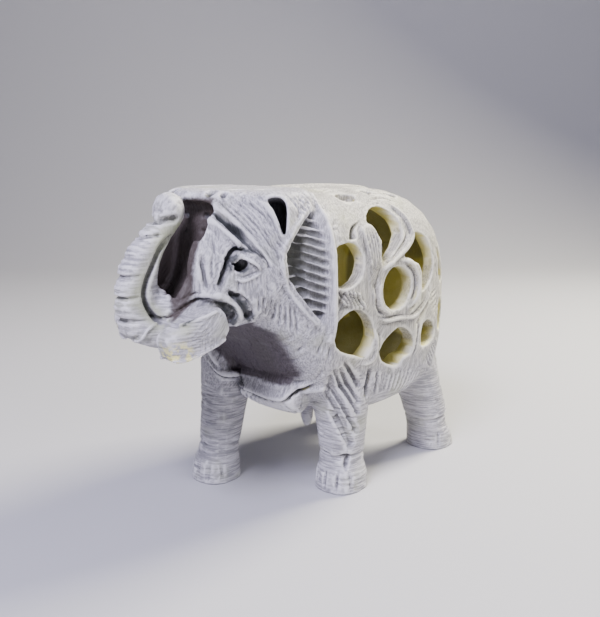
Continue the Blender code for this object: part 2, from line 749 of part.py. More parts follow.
def eye_hole(side):
    """Drilled square to the slant of the cheek."""
    x, y, z = EYE
    radius, depth = EYE_DIAMETER / UNIT / 2, EYE_DEPTH / UNIT
    slant = math.radians(CHEEK_SLANT_DEGREES)
    outwards = Vector((-math.sin(slant), side * math.cos(slant), 0))
    across = outwards.cross(Z_AXIS)
    middle = Vector((x, side * y, z))
    rings = [
        oval(middle + outwards * place, across, Z_AXIS, radius, radius, 2, SMALL_WINDOW_SIDES)
        for place in (-depth, EYE_CLEAR)
    ]
    return loft("eye", rings)


def stone():
    material = bpy.data.materials.new("soapstone")
    material.use_nodes = True
    shader = material.node_tree.nodes["Principled BSDF"]
    shader.inputs["Base Color"].default_value = STONE_COLOUR
    shader.inputs["Roughness"].default_value = STONE_ROUGHNESS
    shader.inputs["Metallic"].default_value = 0.0
    return material


def clean(block):
    """Merges what the cuts left closer together than the stone shows."""
    shape = bmesh.new()
    shape.from_mesh(block.data)
    bmesh.ops.dissolve_degenerate(shape, dist=MERGE, edges=shape.edges)
    bmesh.ops.triangulate(shape, faces=[face for face in shape.faces if len(face.verts) > 3])
    shape.to_mesh(block.data)
    shape.free()


def centre(block):
    """Puts the middle of the figure's length and width over the origin."""
    xs = [vertex.co.x for vertex in block.data.vertices]
    ys = [vertex.co.y for vertex in block.data.vertices]
    middle = Vector(((min(xs) + max(xs)) / 2, (min(ys) + max(ys)) / 2, 0))
    block.data.transform(Matrix.Translation(-middle))


def main():
    clear_scene()
    block = join("elephant", masses())
    soften(block)
    for reach, corners in FACE_POCKETS:
        subtract(block, prism("face_pocket", rounded_outline(corners), 1, -reach, reach))
    soften(block)
    fold_trunk(block)
    scoop_ears(block)
    carve_lines(block, all_lines())
    thin_out(block, OUTSIDE_TRIANGLES)
    stand_flat(block)
    cut_slots(block)
    pierce(block)
    clean(block)
    centre(block)
    block.data.materials.clear()
    block.data.materials.append(stone())
    block.data.shade_smooth()
    block.data.set_sharp_from_angle(angle=math.radians(SHARP_DEGREES))


main()
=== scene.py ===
"""The looks of a small elephant carved from one block of soapstone.

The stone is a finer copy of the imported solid. Its edges are rubbed round, and the brow, eyes, lips,
ears, trunk folds, leaves and file marks are then carved into it, line by line. Sizes are in
millimetres on drawings of the figure, whose zero lies a little ahead of the frame's own.
"""

import json
import math
import random

import bpy
import numpy as np
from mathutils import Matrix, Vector
from mathutils.bvhtree import BVHTree
from mathutils.kdtree import KDTree

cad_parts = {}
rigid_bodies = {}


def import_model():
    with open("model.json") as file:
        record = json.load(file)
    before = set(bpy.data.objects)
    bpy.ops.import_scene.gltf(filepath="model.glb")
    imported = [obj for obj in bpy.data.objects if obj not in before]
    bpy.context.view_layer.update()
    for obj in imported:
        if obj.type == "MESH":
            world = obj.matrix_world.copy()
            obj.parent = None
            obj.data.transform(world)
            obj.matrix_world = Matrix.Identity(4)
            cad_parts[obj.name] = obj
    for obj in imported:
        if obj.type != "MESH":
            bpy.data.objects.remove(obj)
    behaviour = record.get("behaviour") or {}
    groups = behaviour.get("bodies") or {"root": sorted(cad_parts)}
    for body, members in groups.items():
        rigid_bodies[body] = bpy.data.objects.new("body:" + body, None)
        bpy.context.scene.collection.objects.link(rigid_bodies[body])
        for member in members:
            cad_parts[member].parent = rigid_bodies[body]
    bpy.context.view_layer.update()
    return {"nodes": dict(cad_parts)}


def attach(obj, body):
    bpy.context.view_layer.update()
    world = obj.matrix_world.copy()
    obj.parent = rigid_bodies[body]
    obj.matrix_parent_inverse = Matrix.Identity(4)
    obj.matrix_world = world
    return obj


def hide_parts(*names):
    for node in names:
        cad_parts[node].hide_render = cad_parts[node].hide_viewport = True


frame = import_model()

# Metres in a millimetre, and where the zero of the drawings lies in the frame, in millimetres
MM = 0.001
DRAWING_ZERO = 11.41
ZERO_SHIFT = np.array((DRAWING_ZERO, 0, 0))

# The fine skin: the distance that merges points, its pitch, how it is rubbed, and how it is thinned
MERGE = 0.00001
VOXEL = 0.23
RUBBING = 0.5
RUBBING_STEPS = 4
MOST_TRIANGLES = 194000
THINNING_INSIDE = 0.85
THINNING_OUTSIDE = 0.15

# Keeps a division from ending at zero
TINY = 0.01


def deselect_all():
    for obj in bpy.context.scene.objects:
        obj.select_set(False)


def pick(obj):
    """Makes one object the only one selected, and the active one."""
    deselect_all()
    obj.select_set(True)
    bpy.context.view_layer.objects.active = obj


def apply_modifier(obj, kind, **settings):
    pick(obj)
    modifier = obj.modifiers.new(kind.lower(), kind)
    for key, value in settings.items():
        setattr(modifier, key, value)
    bpy.ops.object.modifier_apply(modifier=modifier.name)


def rough_block():
    """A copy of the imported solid, whole again, with an even fine skin and rubbed edges."""
    node = frame["nodes"]["elephant"]
    block = bpy.data.objects.new("carved_elephant", node.data.copy())
    bpy.context.scene.collection.objects.link(block)
    pick(block)
    bpy.ops.object.mode_set(mode="EDIT")
    bpy.ops.mesh.select_all(action="SELECT")
    bpy.ops.mesh.remove_doubles(threshold=MERGE)
    bpy.ops.object.mode_set(mode="OBJECT")
    apply_modifier(block, "REMESH", mode="VOXEL", voxel_size=VOXEL * MM)
    apply_modifier(block, "SMOOTH", factor=RUBBING, iterations=RUBBING_STEPS)
    return block


def thin_out(block, hidden):
    """Widens the triangles where the stone is plain, and most of all on the walls of the hollow."""
    count = sum(len(face.vertices) - 2 for face in block.data.polygons)
    if count <= MOST_TRIANGLES:
        return
    group = block.vertex_groups.new(name="hidden")
    group.add(np.nonzero(hidden <= 0.5)[0].tolist(), THINNING_OUTSIDE, "REPLACE")
    group.add(np.nonzero(hidden > 0.5)[0].tolist(), THINNING_INSIDE, "REPLACE")
    apply_modifier(
        block, "DECIMATE", ratio=MOST_TRIANGLES / count, use_collapse_triangulate=True,
        vertex_group="hidden", vertex_group_factor=1.0,
    )
    block.vertex_groups.clear()


def skin_of(mesh):
    """The places of a mesh's points on the drawings, and the directions that its skin faces there."""
    places = np.empty(len(mesh.vertices) * 3, dtype=np.float32)
    normals = np.empty(len(mesh.vertices) * 3, dtype=np.float32)
    mesh.vertices.foreach_get("co", places)
    mesh.vertices.foreach_get("normal", normals)
    return places.reshape(-1, 3) / MM - ZERO_SHIFT, normals.reshape(-1, 3)


class Stone:
    """The skin of the block in millimetres on the drawings, and how deep each point of it is cut."""

    def __init__(self, block):
        self.block = block
        self.places, self.normals = skin_of(block.data)
        self.depths = np.zeros(len(self.places))
        self.tree = KDTree(len(self.places))
        for i, place in enumerate(self.places):
            self.tree.insert(place, i)
        self.tree.balance()
        self.skin = BVHTree.FromObject(block, bpy.context.evaluated_depsgraph_get())

    def settle(self):
        """Moves every point of the skin in by its depth."""
        moved = self.places - self.normals * self.depths[:, None] + ZERO_SHIFT
        self.block.data.vertices.foreach_set("co", (moved * MM).astype(np.float32).ravel())
        self.block.data.update()


# Each way of looking at the stone: the axis looked along, from which end of it, and the axes across
# and up the drawing
VIEWS = {
    "left": (1, -1, 0, 2),
    "right": (1, 1, 0, 2),
    "front": (0, -1, 1, 2),
    "rear": (0, 1, 1, 2),
    "top": (2, 1, 0, 1),
    "under": (2, -1, 0, 1),
}
SIDES = ("left", "right")

# How far out a look starts, how close the points of a line lie, and the widest gap that it bridges
SIGHT = 95.0
POINT_PITCH = 0.16
WIDEST_GAP = 1.6

# The share of its depth that a groove keeps at its very ends, and the share of its width there
BLUNT_ENDS = 0.04
NARROW_ENDS = 0.5

# How squarely the skin faces a view that lowers its ground, and the points on each side of an outline
LEAST_FACING = 0.3
OUTLINE_STEPS = 4


def ease(share):
    """A share held between 0 and 1, with a soft start and end."""
    share = np.clip(share, 0, 1)
    return share * share * (3 - 2 * share)


def curve_point(before, a, b, after, t):
    """A point between a and b on the smooth curve through four points."""
    return tuple(
        (2 * q + (r - p) * t + (2 * p - 5 * q + 4 * r - s) * t**2 + (3 * q - p - 3 * r + s) * t**3) / 2
        for p, q, r, s in zip(before, a, b, after)
    )


def smooth_path(corners, pitch=POINT_PITCH):
    """Points an even pitch apart on the smooth curve through the corners."""
    rows = [corners[0], *corners, corners[-1]]
    points = []
    for before, a, b, after in zip(rows, rows[1:], rows[2:], rows[3:]):
        steps = max(1, round(math.dist(a, b) / pitch))
        points += [curve_point(before, a, b, after, step / steps) for step in range(steps)]
    return points + [tuple(corners[-1])]


def on_skin(stone, view, path):
    """Where a line drawn in one view lies on the stone."""
    axis, end, across, up = VIEWS[view]
    found = []
    for a, b in smooth_path(path):
        start = [0.0, 0.0, 0.0]
        start[axis], start[across], start[up] = end * SIGHT, a, b
        start[0] += DRAWING_ZERO
        direction = [0.0, 0.0, 0.0]
        direction[axis] = -end
        hit = stone.skin.ray_cast(Vector(start) * MM, Vector(direction))[0]
        if hit is None:
            continue
        point = Vector((hit.x / MM - DRAWING_ZERO, hit.y / MM, hit.z / MM))
        step = (point - found[-1]).length if found else 0.0
        if POINT_PITCH < step < WIDEST_GAP:
            between = int(step / POINT_PITCH)
            found += [found[-1].lerp(point, (i + 1) / (between + 1)) for i in range(between)]
        found.append(point)
    return found


def groove(stone, points, half_width, depth, ends=0.2):
    """A groove along points on the skin, narrowing towards its ends. Below zero it is a ridge."""
    reached = {}
    last = max(1, len(points) - 1)
    for i, point in enumerate(points):
        share = 1.0
        if ends:
            share = min(1.0, (i / last + BLUNT_ENDS) / ends, (1 - i / last + BLUNT_ENDS) / ends)
        radius = half_width * (NARROW_ENDS + (1 - NARROW_ENDS) * share)
        for _, j, distance in stone.tree.find_range(point, radius):
            fall = share * (1 - (distance / radius) ** 2)
            reached[j] = max(reached.get(j, 0.0), fall)
    for j, fall in reached.items():
        stone.depths[j] += fall * depth


def draw(stone, views, lines):
    """Lines drawn in each of several views: half width, depth, share that tapers at each end, corners."""
    for view in views:
        for half_width, depth, ends, path in lines:
            groove(stone, on_skin(stone, view, path), half_width, depth, ends)


def fan(first, last, count, half_width, depth, ends=0.25):
    """Lines spread evenly between a first and a last one."""
    lines = []
    for i in range(count):
        t = i / (count - 1)
        path = [tuple(p + (q - p) * t for p, q in zip(a, b)) for a, b in zip(first, last)]
        lines.append((half_width, depth, ends, path))
    return lines


def facing(stone, view, outside):
    """The points of the skin that face a view, and lie further out than a distance from the middle."""
    axis, end, across, up = VIEWS[view]
    turned = stone.normals[:, axis] * end > LEAST_FACING
    return np.nonzero(turned & (stone.places[:, axis] * end > outside))[0]


def border_distance(points, outline):
    """How far inside an outline each point lies, and below zero how far outside it."""
    corners = np.array(outline)
    inside = np.zeros(len(points), dtype=bool)
    nearest = np.full(len(points), np.inf)
    x, y = points[:, 0], points[:, 1]
    for a, b in zip(corners, np.roll(corners, -1, axis=0)):
        along = b - a
        t = np.clip(((points - a) @ along) / (along @ along), 0, 1)
        nearest = np.minimum(nearest, np.linalg.norm(points - a - t[:, None] * along, axis=1))
        if a[1] != b[1]:
            crosses = (a[1] > y) != (b[1] > y)
            inside ^= crosses & (x < a[0] + (y - a[1]) * along[0] / (b[1] - a[1]))
    return np.where(inside, nearest, -nearest)


def line_distance(points, path):
    """How far each point lies from a line of straight stretches."""
    nearest = np.full(len(points), np.inf)
    for a, b in zip(np.array(path[:-1]), np.array(path[1:])):
        along = b - a
        t = np.clip(((points - a) @ along) / (along @ along), 0, 1)
        nearest = np.minimum(nearest, np.linalg.norm(points - a - t[:, None] * along, axis=1))
    return nearest


def closed_outline(corners):
    """The smooth closed outline through corners."""
    count = len(corners)
    return [
        curve_point(*(corners[(i + k) % count] for k in (-1, 0, 1, 2)), step / OUTLINE_STEPS)
        for i in range(count)
        for step in range(OUTLINE_STEPS)
    ]


def patch(stone, view, outside, corners, slope):
    """The points in an outline as one view sees them, their places there, and how far in they lie from
    0 at the border to 1 a slope's width inside it."""
    axis, end, across, up = VIEWS[view]
    chosen = facing(stone, view, outside)
    points = stone.places[chosen][:, (across, up)]
    low, high = np.min(corners, axis=0) - 1, np.max(corners, axis=0) + 1
    near = np.all((points > low) & (points < high), axis=1)
    chosen, points = chosen[near], points[near]
    return chosen, points, ease(border_distance(points, closed_outline(corners)) / slope)


def sink(stone, view, outside, corners, depth, slope):
    """Lowers the ground inside an outline. Below zero raises it."""
    chosen, _, share = patch(stone, view, outside, corners, slope)
    stone.depths[chosen] += share * depth


def comb(stone, view, outside, corners, angle, pitch, phase, depth, slope):
    """Rounded hollows with sharp crests between them, side by side across an outline."""
    chosen, points, share = patch(stone, view, outside, corners, slope)
    turn = math.radians(angle)
    place = points[:, 1] * math.cos(turn) - points[:, 0] * math.sin(turn)
    stone.depths[chosen] += share * depth * np.abs(np.sin(math.pi * (place / pitch + phase)))


# Lines on both sides of the head: half width, depth, share that tapers, and points of x and height
FACE_LINES = (
    (0.70, -0.35, 0.20, ((-37.5, 57.4), (-37.2, 56.8), (-36.8, 56.1))),
    (0.80, -0.60, 0.10, ((-33.3, 49.9), (-32.6, 48.7), (-31.7, 47.3))),
    (0.75, -0.60, 0.20, ((-34.3, 52.0), (-33.1, 49.9), (-31.9, 47.6))),
    (0.46, 1.20, 0.45, ((-37.2, 56.8), (-36.2, 55.2), (-34.9, 52.9), (-34.0, 51.3))),
    (0.28, 0.60, 0.25, ((-34.6, 52.2), (-33.5, 50.2), (-32.2, 48.0))),
    (0.45, -0.45, 0.30, ((-38.0, 56.0), (-37.2, 54.2), (-35.7, 51.9), (-33.6, 49.2), (-32.0, 47.0))),
    (0.34, -0.28, 0.30, ((-35.6, 56.6), (-34.4, 54.0), (-33.2, 51.6), (-32.0, 49.4))),
    (0.45, 1.10, 0.25, ((-34.4, 50.5), (-35.4, 51.0), (-36.4, 50.1), (-37.1, 47.9), (-37.9, 45.0))),
    (0.36, -0.60, 0.25, ((-36.6, 46.2), (-36.5, 48.3), (-35.5, 49.8), (-34.2, 48.9), (-32.7, 47.0))),
    (0.26, 0.30, 0.25, ((-35.6, 49.6), (-34.4, 48.7), (-33.1, 47.3))),
    (0.34, -0.34, 0.25, ((-36.6, 46.0), (-35.2, 45.6), (-34.0, 46.1), (-32.7, 47.0))),
    (0.26, 0.30, 0.25, ((-36.3, 46.7), (-35.2, 46.3), (-34.2, 46.7), (-33.2, 47.2))),
    (0.80, -0.45, 0.25, ((-40.4, 43.0), (-39.1, 43.3), (-37.6, 42.8), (-35.5, 40.7), (-34.0, 37.8))),
    (0.70, 1.30, 0.30, ((-38.8, 42.2), (-37.2, 41.1), (-36.0, 39.4), (-35.4, 37.4))),
    (0.70, 1.30, 0.30, ((-37.2, 44.0), (-35.4, 42.6), (-33.9, 40.8), (-32.2, 37.9))),
    (0.34, 0.50, 0.30, ((-40.2, 49.9), (-40.1, 47.6), (-39.7, 44.4))),
    (0.30, 0.42, 0.30, ((-38.9, 50.2), (-39.2, 48.2), (-39.2, 45.6))),
    (0.28, 0.34, 0.30, ((-38.3, 49.4), (-38.6, 47.2), (-38.8, 45.0))),
    (0.26, 0.28, 0.30, ((-39.4, 53.6), (-39.7, 51.6), (-39.7, 50.2))),
    (0.26, 0.28, 0.30, ((-38.4, 53.0), (-38.6, 51.0), (-38.7, 49.2))),
    (0.34, 0.55, 0.20, ((-40.0, 42.9), (-42.4, 42.0), (-44.6, 40.9), (-46.6, 39.6), (-48.6, 38.4))),
    (0.26, 0.30, 0.20, ((-40.6, 43.9), (-42.6, 43.1), (-44.4, 42.0))),
)
PUPIL = (-35.3, 47.7)
PUPIL_RADIUS = 1.5
PUPIL_DEPTH = 1.7
FOREHEAD_FAN = fan(
    ((-36.6, 59.0), (-34.6, 55.4), (-32.4, 51.2), (-30.6, 47.8)),
    ((-32.8, 59.8), (-31.4, 57.0), (-30.2, 53.0), (-29.6, 49.4)), 7, 0.30, 0.42,
)
CHEEK_FAN = fan(((-33.0, 43.4), (-32.2, 40.2)), ((-27.0, 40.6), (-25.4, 35.0)), 9, 0.32, 0.42)
NECK_FAN = fan(
    ((-27.2, 59.6), (-25.2, 57.0), (-24.0, 55.4)),
    ((-23.0, 59.8), (-21.6, 58.4), (-20.6, 57.2)), 5, 0.28, 0.26,
)

# The outer face of the tusk: its middle line, its half depth, its border and the strokes along it, whose
# spread narrows towards the tip
TUSK_ROOT = (-40.2, 38.7)
TUSK_TIP = (-48.7, 35.8)
TUSK_HALF_DEPTH = 2.5
TUSK_BORDER = (0.40, -0.50, 0.05)
TUSK_STROKE = (0.26, 0.20, 0.3)
TUSK_STROKES = 5
TUSK_STROKE_SPREAD = 0.64
TUSK_STROKE_MIDDLE = 0.9
TUSK_STROKE_TIP = 0.8
TUSK_STROKE_GAP = 1.4

# The ear: a leaf with slanting ribs, deepest along its front edge
EAR_OUTLINE = (
    (-22.4, 56.6), (-25.2, 54.5), (-28.3, 51.2), (-28.9, 48.8), (-28.1, 45.6), (-26.6, 43.0), (-24.0, 39.4),
    (-21.6, 36.8), (-20.6, 40.0), (-20.5, 50.0), (-21.0, 55.0),
)
EAR_FRONT_BAND = (
    (-22.8, 56.2), (-25.2, 54.5), (-28.3, 51.2), (-28.9, 48.8), (-28.1, 45.6), (-26.6, 43.0), (-24.0, 39.4),
    (-22.4, 38.2), (-23.4, 42.0), (-24.2, 46.0), (-24.4, 50.0), (-23.6, 53.4),
)
EAR_RIB_LEAN = -20.0
EAR_RIB_PITCH = 1.504
EAR_RIB_PHASE = 0.5
EAR_RIB_DEPTH = 0.85
EAR_RIB_SLOPE = 0.9
EAR_BAND_DEPTH = 0.7
EAR_BAND_SLOPE = 1.6
EAR_FROM = 10.0
EAR_LINES = (
    (0.60, -0.55, 0.20, ((-22.0, 57.8), (-25.8, 55.2), (-29.1, 51.7), (-29.8, 48.8), (-29.0, 45.3),
                         (-27.4, 42.4), (-24.6, 38.8), (-22.0, 36.2))),
    (0.70, -0.50, 0.15, ((-19.4, 58.6), (-19.7, 52.0), (-19.8, 44.0), (-19.6, 34.0))),
    (0.45, 0.60, 0.15, ((-18.6, 57.0), (-18.8, 52.0), (-19.0, 44.0), (-18.8, 38.4))),
)

# Leaves, stems and lowered grounds between the windows of the flank
LEAF = (
    (-11.6, 52.7), (-9.8, 54.0), (-8.0, 53.8), (-6.8, 52.6), (-5.9, 50.4), (-5.9, 48.4), (-7.0, 45.0),
    (-8.2, 41.4), (-8.6, 38.6), (-9.9, 42.0), (-10.6, 46.0), (-10.9, 49.4),
)
LEAF_GROUND = (
    (-14.8, 51.2), (-13.4, 53.4), (-10.8, 54.3), (-9.6, 54.4), (-12.0, 52.8), (-12.6, 51.2),
)
LOW_GROUND = ((-19.0, 42.6), (-16.4, 42.0), (-16.8, 40.6), (-18.6, 39.2))
HATCH_GROUND = ((-16.6, 42.2), (-14.2, 41.6), (-11.8, 40.4), (-12.8, 38.6), (-16.0, 38.4), (-18.6, 38.6))

# How each outline changes the ground: its depth, and the width of its slope
FLANK_GROUNDS = (
    (LEAF, -0.65, 0.8), (LEAF_GROUND, 1.2, 0.7), (LOW_GROUND, 1.2, 0.7), (HATCH_GROUND, 0.45, 0.9),
)
FLANK_FROM = 12.0
LEAF_LINES = fan(
    ((-11.0, 52.2), (-10.4, 49.0), (-9.8, 45.0), (-9.2, 41.0)),
    ((-6.8, 52.0), (-6.6, 49.0), (-7.4, 45.4), (-8.5, 40.6)), 6, 0.28, 0.55, 0.15,
)
FLANK_LINES = (
    (0.70, -0.65, 0.15, ((-5.8, 44.8), (-2.0, 46.6), (2.0, 48.4), (4.8, 50.8), (4.2, 53.8), (1.6, 56.8))),
    (0.34, 0.60, 0.15, ((-4.6, 45.9), (-1.6, 47.5), (1.5, 49.4), (3.2, 51.2))),
    (0.80, -0.75, 0.15, ((0.2, 46.0), (2.9, 45.2), (5.0, 43.0), (5.4, 40.6), (4.4, 38.4), (1.8, 36.4))),
    (0.42, 0.95, 0.15, ((1.6, 46.6), (5.2, 45.4), (7.0, 42.8), (6.8, 40.2), (5.4, 37.6), (2.8, 35.6))),
    (0.32, 0.50, 0.15, ((0.9, 45.5), (3.4, 44.0), (4.6, 41.8), (4.2, 39.2), (2.4, 37.0))),
    (0.60, 1.25, 0.40, ((4.9, 31.9), (7.0, 33.6), (9.4, 35.6), (12.2, 38.0))),
    (0.32, 0.30, 0.25, ((-9.6, 36.8), (-5.6, 35.6), (-1.4, 35.4), (3.4, 34.8), (7.4, 36.4), (11.0, 38.8))),
    (0.28, 0.22, 0.25, ((-8.4, 35.0), (-5.0, 34.2), (-1.4, 34.2), (2.8, 33.4))),
    (0.55, -0.50, 0.20, ((-7.6, 35.8), (-4.2, 34.9), (0.4, 34.8), (4.6, 34.4), (8.4, 36.6), (12.4, 40.0))),
    (0.55, -0.50, 0.20, ((-6.6, 43.4), (-7.2, 40.6), (-6.2, 37.6), (-3.2, 35.8))),
    (0.40, 0.75, 0.20, ((-8.0, 42.4), (-8.2, 39.6), (-7.4, 37.4), (-5.6, 36.2))),
    (0.55, -0.45, 0.20, ((-8.4, 33.8), (-7.6, 31.0), (-8.4, 27.8), (-12.0, 27.4))),
    (0.34, 0.55, 0.20, ((-7.2, 33.2), (-6.8, 31.6), (-7.2, 28.6))),
    (0.34, 0.55, 0.20, ((6.4, 33.2), (6.4, 30.6), (5.8, 27.2), (4.4, 25.0))),
)
HATCHES = (
    *fan(((-18.4, 42.4), (-16.4, 39.4)), ((-13.6, 41.6), (-11.4, 38.2)), 6, 0.40, -0.62, 0.15),
    *fan(((-17.9, 42.4), (-15.9, 39.4)), ((-14.1, 41.6), (-11.9, 38.2)), 5, 0.30, 0.40, 0.15),
    *fan(((10.4, 37.2), (14.2, 38.6)), ((12.8, 33.4), (15.8, 34.6)), 5, 0.32, 0.5),
    *fan(((15.0, 27.4), (18.6, 24.8)), ((11.6, 24.4), (16.4, 20.8)), 6, 0.32, 0.45),
    *fan(((-8.6, 25.8), (-7.9, 20.2)), ((-8.2, 25.7), (-7.6, 20.4)), 2, 0.50, 0.35),
    *fan(((-6.1, 25.0), (-4.3, 19.4)), ((9.6, 22.0), (10.0, 16.6)), 11, 0.32, 0.42),
)

# Bars across the left front leg, from end to end, each a plain groove
LEG_BAR_CUT = (0.42, 0.50, 0.3)
LEG_BARS = (
    ((-15.5, 28.6), (-10.6, 22.9)),
    ((-16.1, 27.4), (-10.2, 19.5)),
    ((-17.2, 27.2), (-10.0, 17.1)),
    ((-17.6, 25.8), (-9.7, 13.0)),
    ((-16.8, 23.6), (-10.2, 10.4)),
    ((-14.4, 17.6), (-10.8, 10.2)),
)

# Each foot: x and y of its middle, and its radius. A wavy groove runs round the ankle above it
FEET = ((-8.4, -11.4, 5.0), (-22.6, 10.8, 4.8), (23.2, -11.4, 5.0), (19.4, 11.4, 5.0))
ANKLE_HEIGHT = 7.6
ANKLE_HALF_WIDTH = 0.55
ANKLE_DEPTH = 0.24
ANKLE_WAVE = 0.35
ANKLE_WAVES = 3
ANKLE_REACH = 3

# The lines between the toes, by their direction from straight ahead
TOE_DEGREES = (-60, -30, 2, 34)
FRONT_DEGREES = 50
TOE_BOTTOM = 0.6
TOE_TOP = 4.6
TOE_CUT = (0.4, 0.3, 0.3)
TOE_NOTCH = (0.6, 0.9, 0.3, ((-12.2, 7.8), (-10.8, 7.8), (-11.1, 6.4), (-11.3, 5.0)))

# The rim of the chest as seen from in front, and the fringe that hangs below it as seen from under
CHEST_LINES = (
    (0.70, -0.85, 0.15, ((10.6, 25.4), (7.2, 23.6), (3.1, 23.0), (-1.5, 22.7), (-5.4, 22.7), (-9.6, 23.3),
                         (-13.0, 24.6))),
    (0.36, 0.80, 0.15, ((10.2, 24.2), (7.0, 22.5), (3.0, 21.9), (-1.5, 21.7), (-5.4, 21.7), (-9.6, 22.5),
                        (-12.6, 23.8))),
)
FRINGE = ((-20.8, -9.0), (-14.0, -9.0), (-13.0, 0.0), (-14.0, 5.6), (-20.8, 5.6), (-21.2, 0.0))
FRINGE_BELOW = -24.5
FRINGE_DROP = -3.3
FRINGE_SLOPE = 2.4
FRINGE_STROKES = fan(((-19.2, 4.6), (-14.8, 4.4)), ((-19.2, -7.6), (-14.8, -7.2)), 14, 0.34, 0.5)

# The trunk's folds as seen from in front, the small holes on top of the head, and lines on the back
TRUNK_NOTCHES = (
    (0.75, 1.00, 0.05, ((-3.0, 55.9), (0.0, 55.5), (3.0, 55.9))),
    (0.50, 0.55, 0.05, ((-2.6, 53.4), (0.0, 53.0), (2.6, 53.4))),
    (0.42, 0.36, 0.25, ((-4.2, 47.3), (0.0, 46.9), (4.2, 47.3))),
    (0.42, 0.36, 0.25, ((-4.6, 43.8), (0.0, 43.4), (4.6, 43.8))),
    (0.46, 0.46, 0.25, ((-4.8, 39.9), (0.0, 39.5), (4.8, 39.9))),
)
TOP_DOTS = ((-36.0, 5.0, 1.2), (-35.4, 7.4, 0.6), (-31.4, 6.4, 0.9), (-27.4, 9.6, 0.9), (-33.6, 1.4, 0.6))
DOT_DEPTH = 1.1
BACK_LINES = (
    *fan(((-12.4, 9.6), (-9.0, 8.6), (-5.4, 9.4)), ((-12.4, 6.4), (-9.0, 5.4), (-5.4, 6.2)), 4, 0.34, 0.4),
    *fan(((-3.0, 13.0), (1.4, 12.4), (5.4, 13.6)), ((-3.0, 6.6), (1.4, 5.6), (5.4, 6.6)), 5, 0.34, 0.4),
    (0.5, -0.4, 0.2, ((-18.0, 3.0), (-8.0, 2.2), (4.0, 2.0), (14.0, 2.4))),
)

# The trunk's middle line as seen from the side, from the face to the tip, and the fine folds on it
TRUNK_MIDDLE = (
    (-42.4, 39.4), (-46.0, 37.2), (-48.4, 39.4), (-48.6, 43.6), (-47.8, 47.6), (-45.9, 51.0), (-43.4, 53.7),
    (-41.4, 55.8),
)
TRUNK_FOLD_PITCH = 0.96
TRUNK_FOLD_DEPTH = 0.26
TRUNK_FRONT_FROM = -43.5
TRUNK_HALF_WIDTH = 5.4
TRUNK_LEAST_FACING = -0.45

# Short strokes left by the scraper: views, corners of the area, their angle and how much it varies, how
# many there are, their length and their depth
STROKES = (
    (SIDES, ((-37.4, 58.6), (-31.0, 59.6), (-28.6, 53.0), (-30.0, 47.6), (-32.0, 49.0)),
     -60, 8, 42, 4.6, 0.17),
    (SIDES, ((-40.4, 55.0), (-37.8, 55.4), (-35.4, 51.2), (-38.0, 45.0), (-41.0, 45.6)),
     -80, 8, 26, 3.8, 0.16),
    (SIDES, ((-37.0, 45.4), (-27.0, 47.4), (-24.6, 38.0), (-31.6, 37.4)), -84, 22, 70, 2.6, 0.16),
    (SIDES, ((-29.6, 54.0), (-24.4, 59.0), (-21.0, 59.0), (-27.0, 54.0)), 52, 10, 18, 2.8, 0.15),
    (SIDES, ((-31.4, 52.0), (-28.6, 53.0), (-28.8, 44.0), (-31.4, 45.0)), -76, 12, 22, 3.0, 0.14),
    (SIDES, ((-27.0, 36.8), (-20.0, 36.4), (-18.6, 24.0), (-22.6, 22.6)), -86, 16, 60, 2.8, 0.17),
    (SIDES, ((-9.0, 24.4), (12.0, 24.0), (14.0, 15.4), (-8.0, 15.4)), -72, 10, 60, 2.6, 0.16),
    (SIDES, ((-18.6, 58.6), (12.0, 57.6), (8.0, 56.2), (-8.0, 57.0), (-18.6, 53.0)), 8, 14, 34, 3.0, 0.15),
    (SIDES, ((12.0, 55.0), (22.0, 50.0), (25.0, 40.0), (14.0, 40.0)), -58, 14, 44, 2.8, 0.16),
    (SIDES, ((14.0, 40.0), (25.0, 40.0), (24.0, 20.0), (14.0, 24.0)), -50, 14, 60, 2.8, 0.16),
    (SIDES, ((11.0, 24.0), (24.0, 24.0), (27.0, 1.5), (19.0, 1.5)), -8, 12, 60, 3.4, 0.16),
    (("left",), ((-18.0, 28.0), (-4.0, 26.0), (-4.4, 1.2), (-13.0, 1.2)), 4, 12, 66, 3.4, 0.16),
    (("right",), ((-26.0, 28.0), (-16.0, 28.0), (-18.4, 1.2), (-27.0, 1.2)), 4, 12, 50, 3.4, 0.16),
    (("front",), ((6.0, 22.0), (15.0, 22.0), (15.6, 1.2), (6.4, 1.2)), 4, 12, 70, 3.4, 0.16),
    (("front",), ((-16.0, 20.0), (-7.0, 20.0), (-7.4, 1.2), (-16.0, 1.2)), 4, 12, 50, 3.4, 0.16),
    (("front",), ((-3.0, 60.0), (3.0, 60.0), (2.4, 56.4), (-2.4, 56.4)), -78, 14, 14, 2.6, 0.18),
    (("front",), ((-10.0, 38.0), (10.0, 38.0), (9.0, 23.0), (-9.0, 23.0)), -84, 20, 50, 3.4, 0.16),
    (("rear",), ((-14.0, 50.0), (14.0, 50.0), (12.0, 16.0), (-12.0, 16.0)), -84, 20, 80, 3.4, 0.16),
    (("top",), ((-34.0, -11.0), (16.0, -12.0), (16.0, 12.0), (-34.0, 11.0)), 6, 26, 150, 3.4, 0.16),
)
STROKE_HALF_WIDTH = 0.27
STROKE_BEND = 0.08
STROKE_ENDS = 0.4
STROKE_LENGTHS = (0.5, 1.2)
STROKE_DEPTHS = (0.6, 1.3)
STROKE_SEED = 5


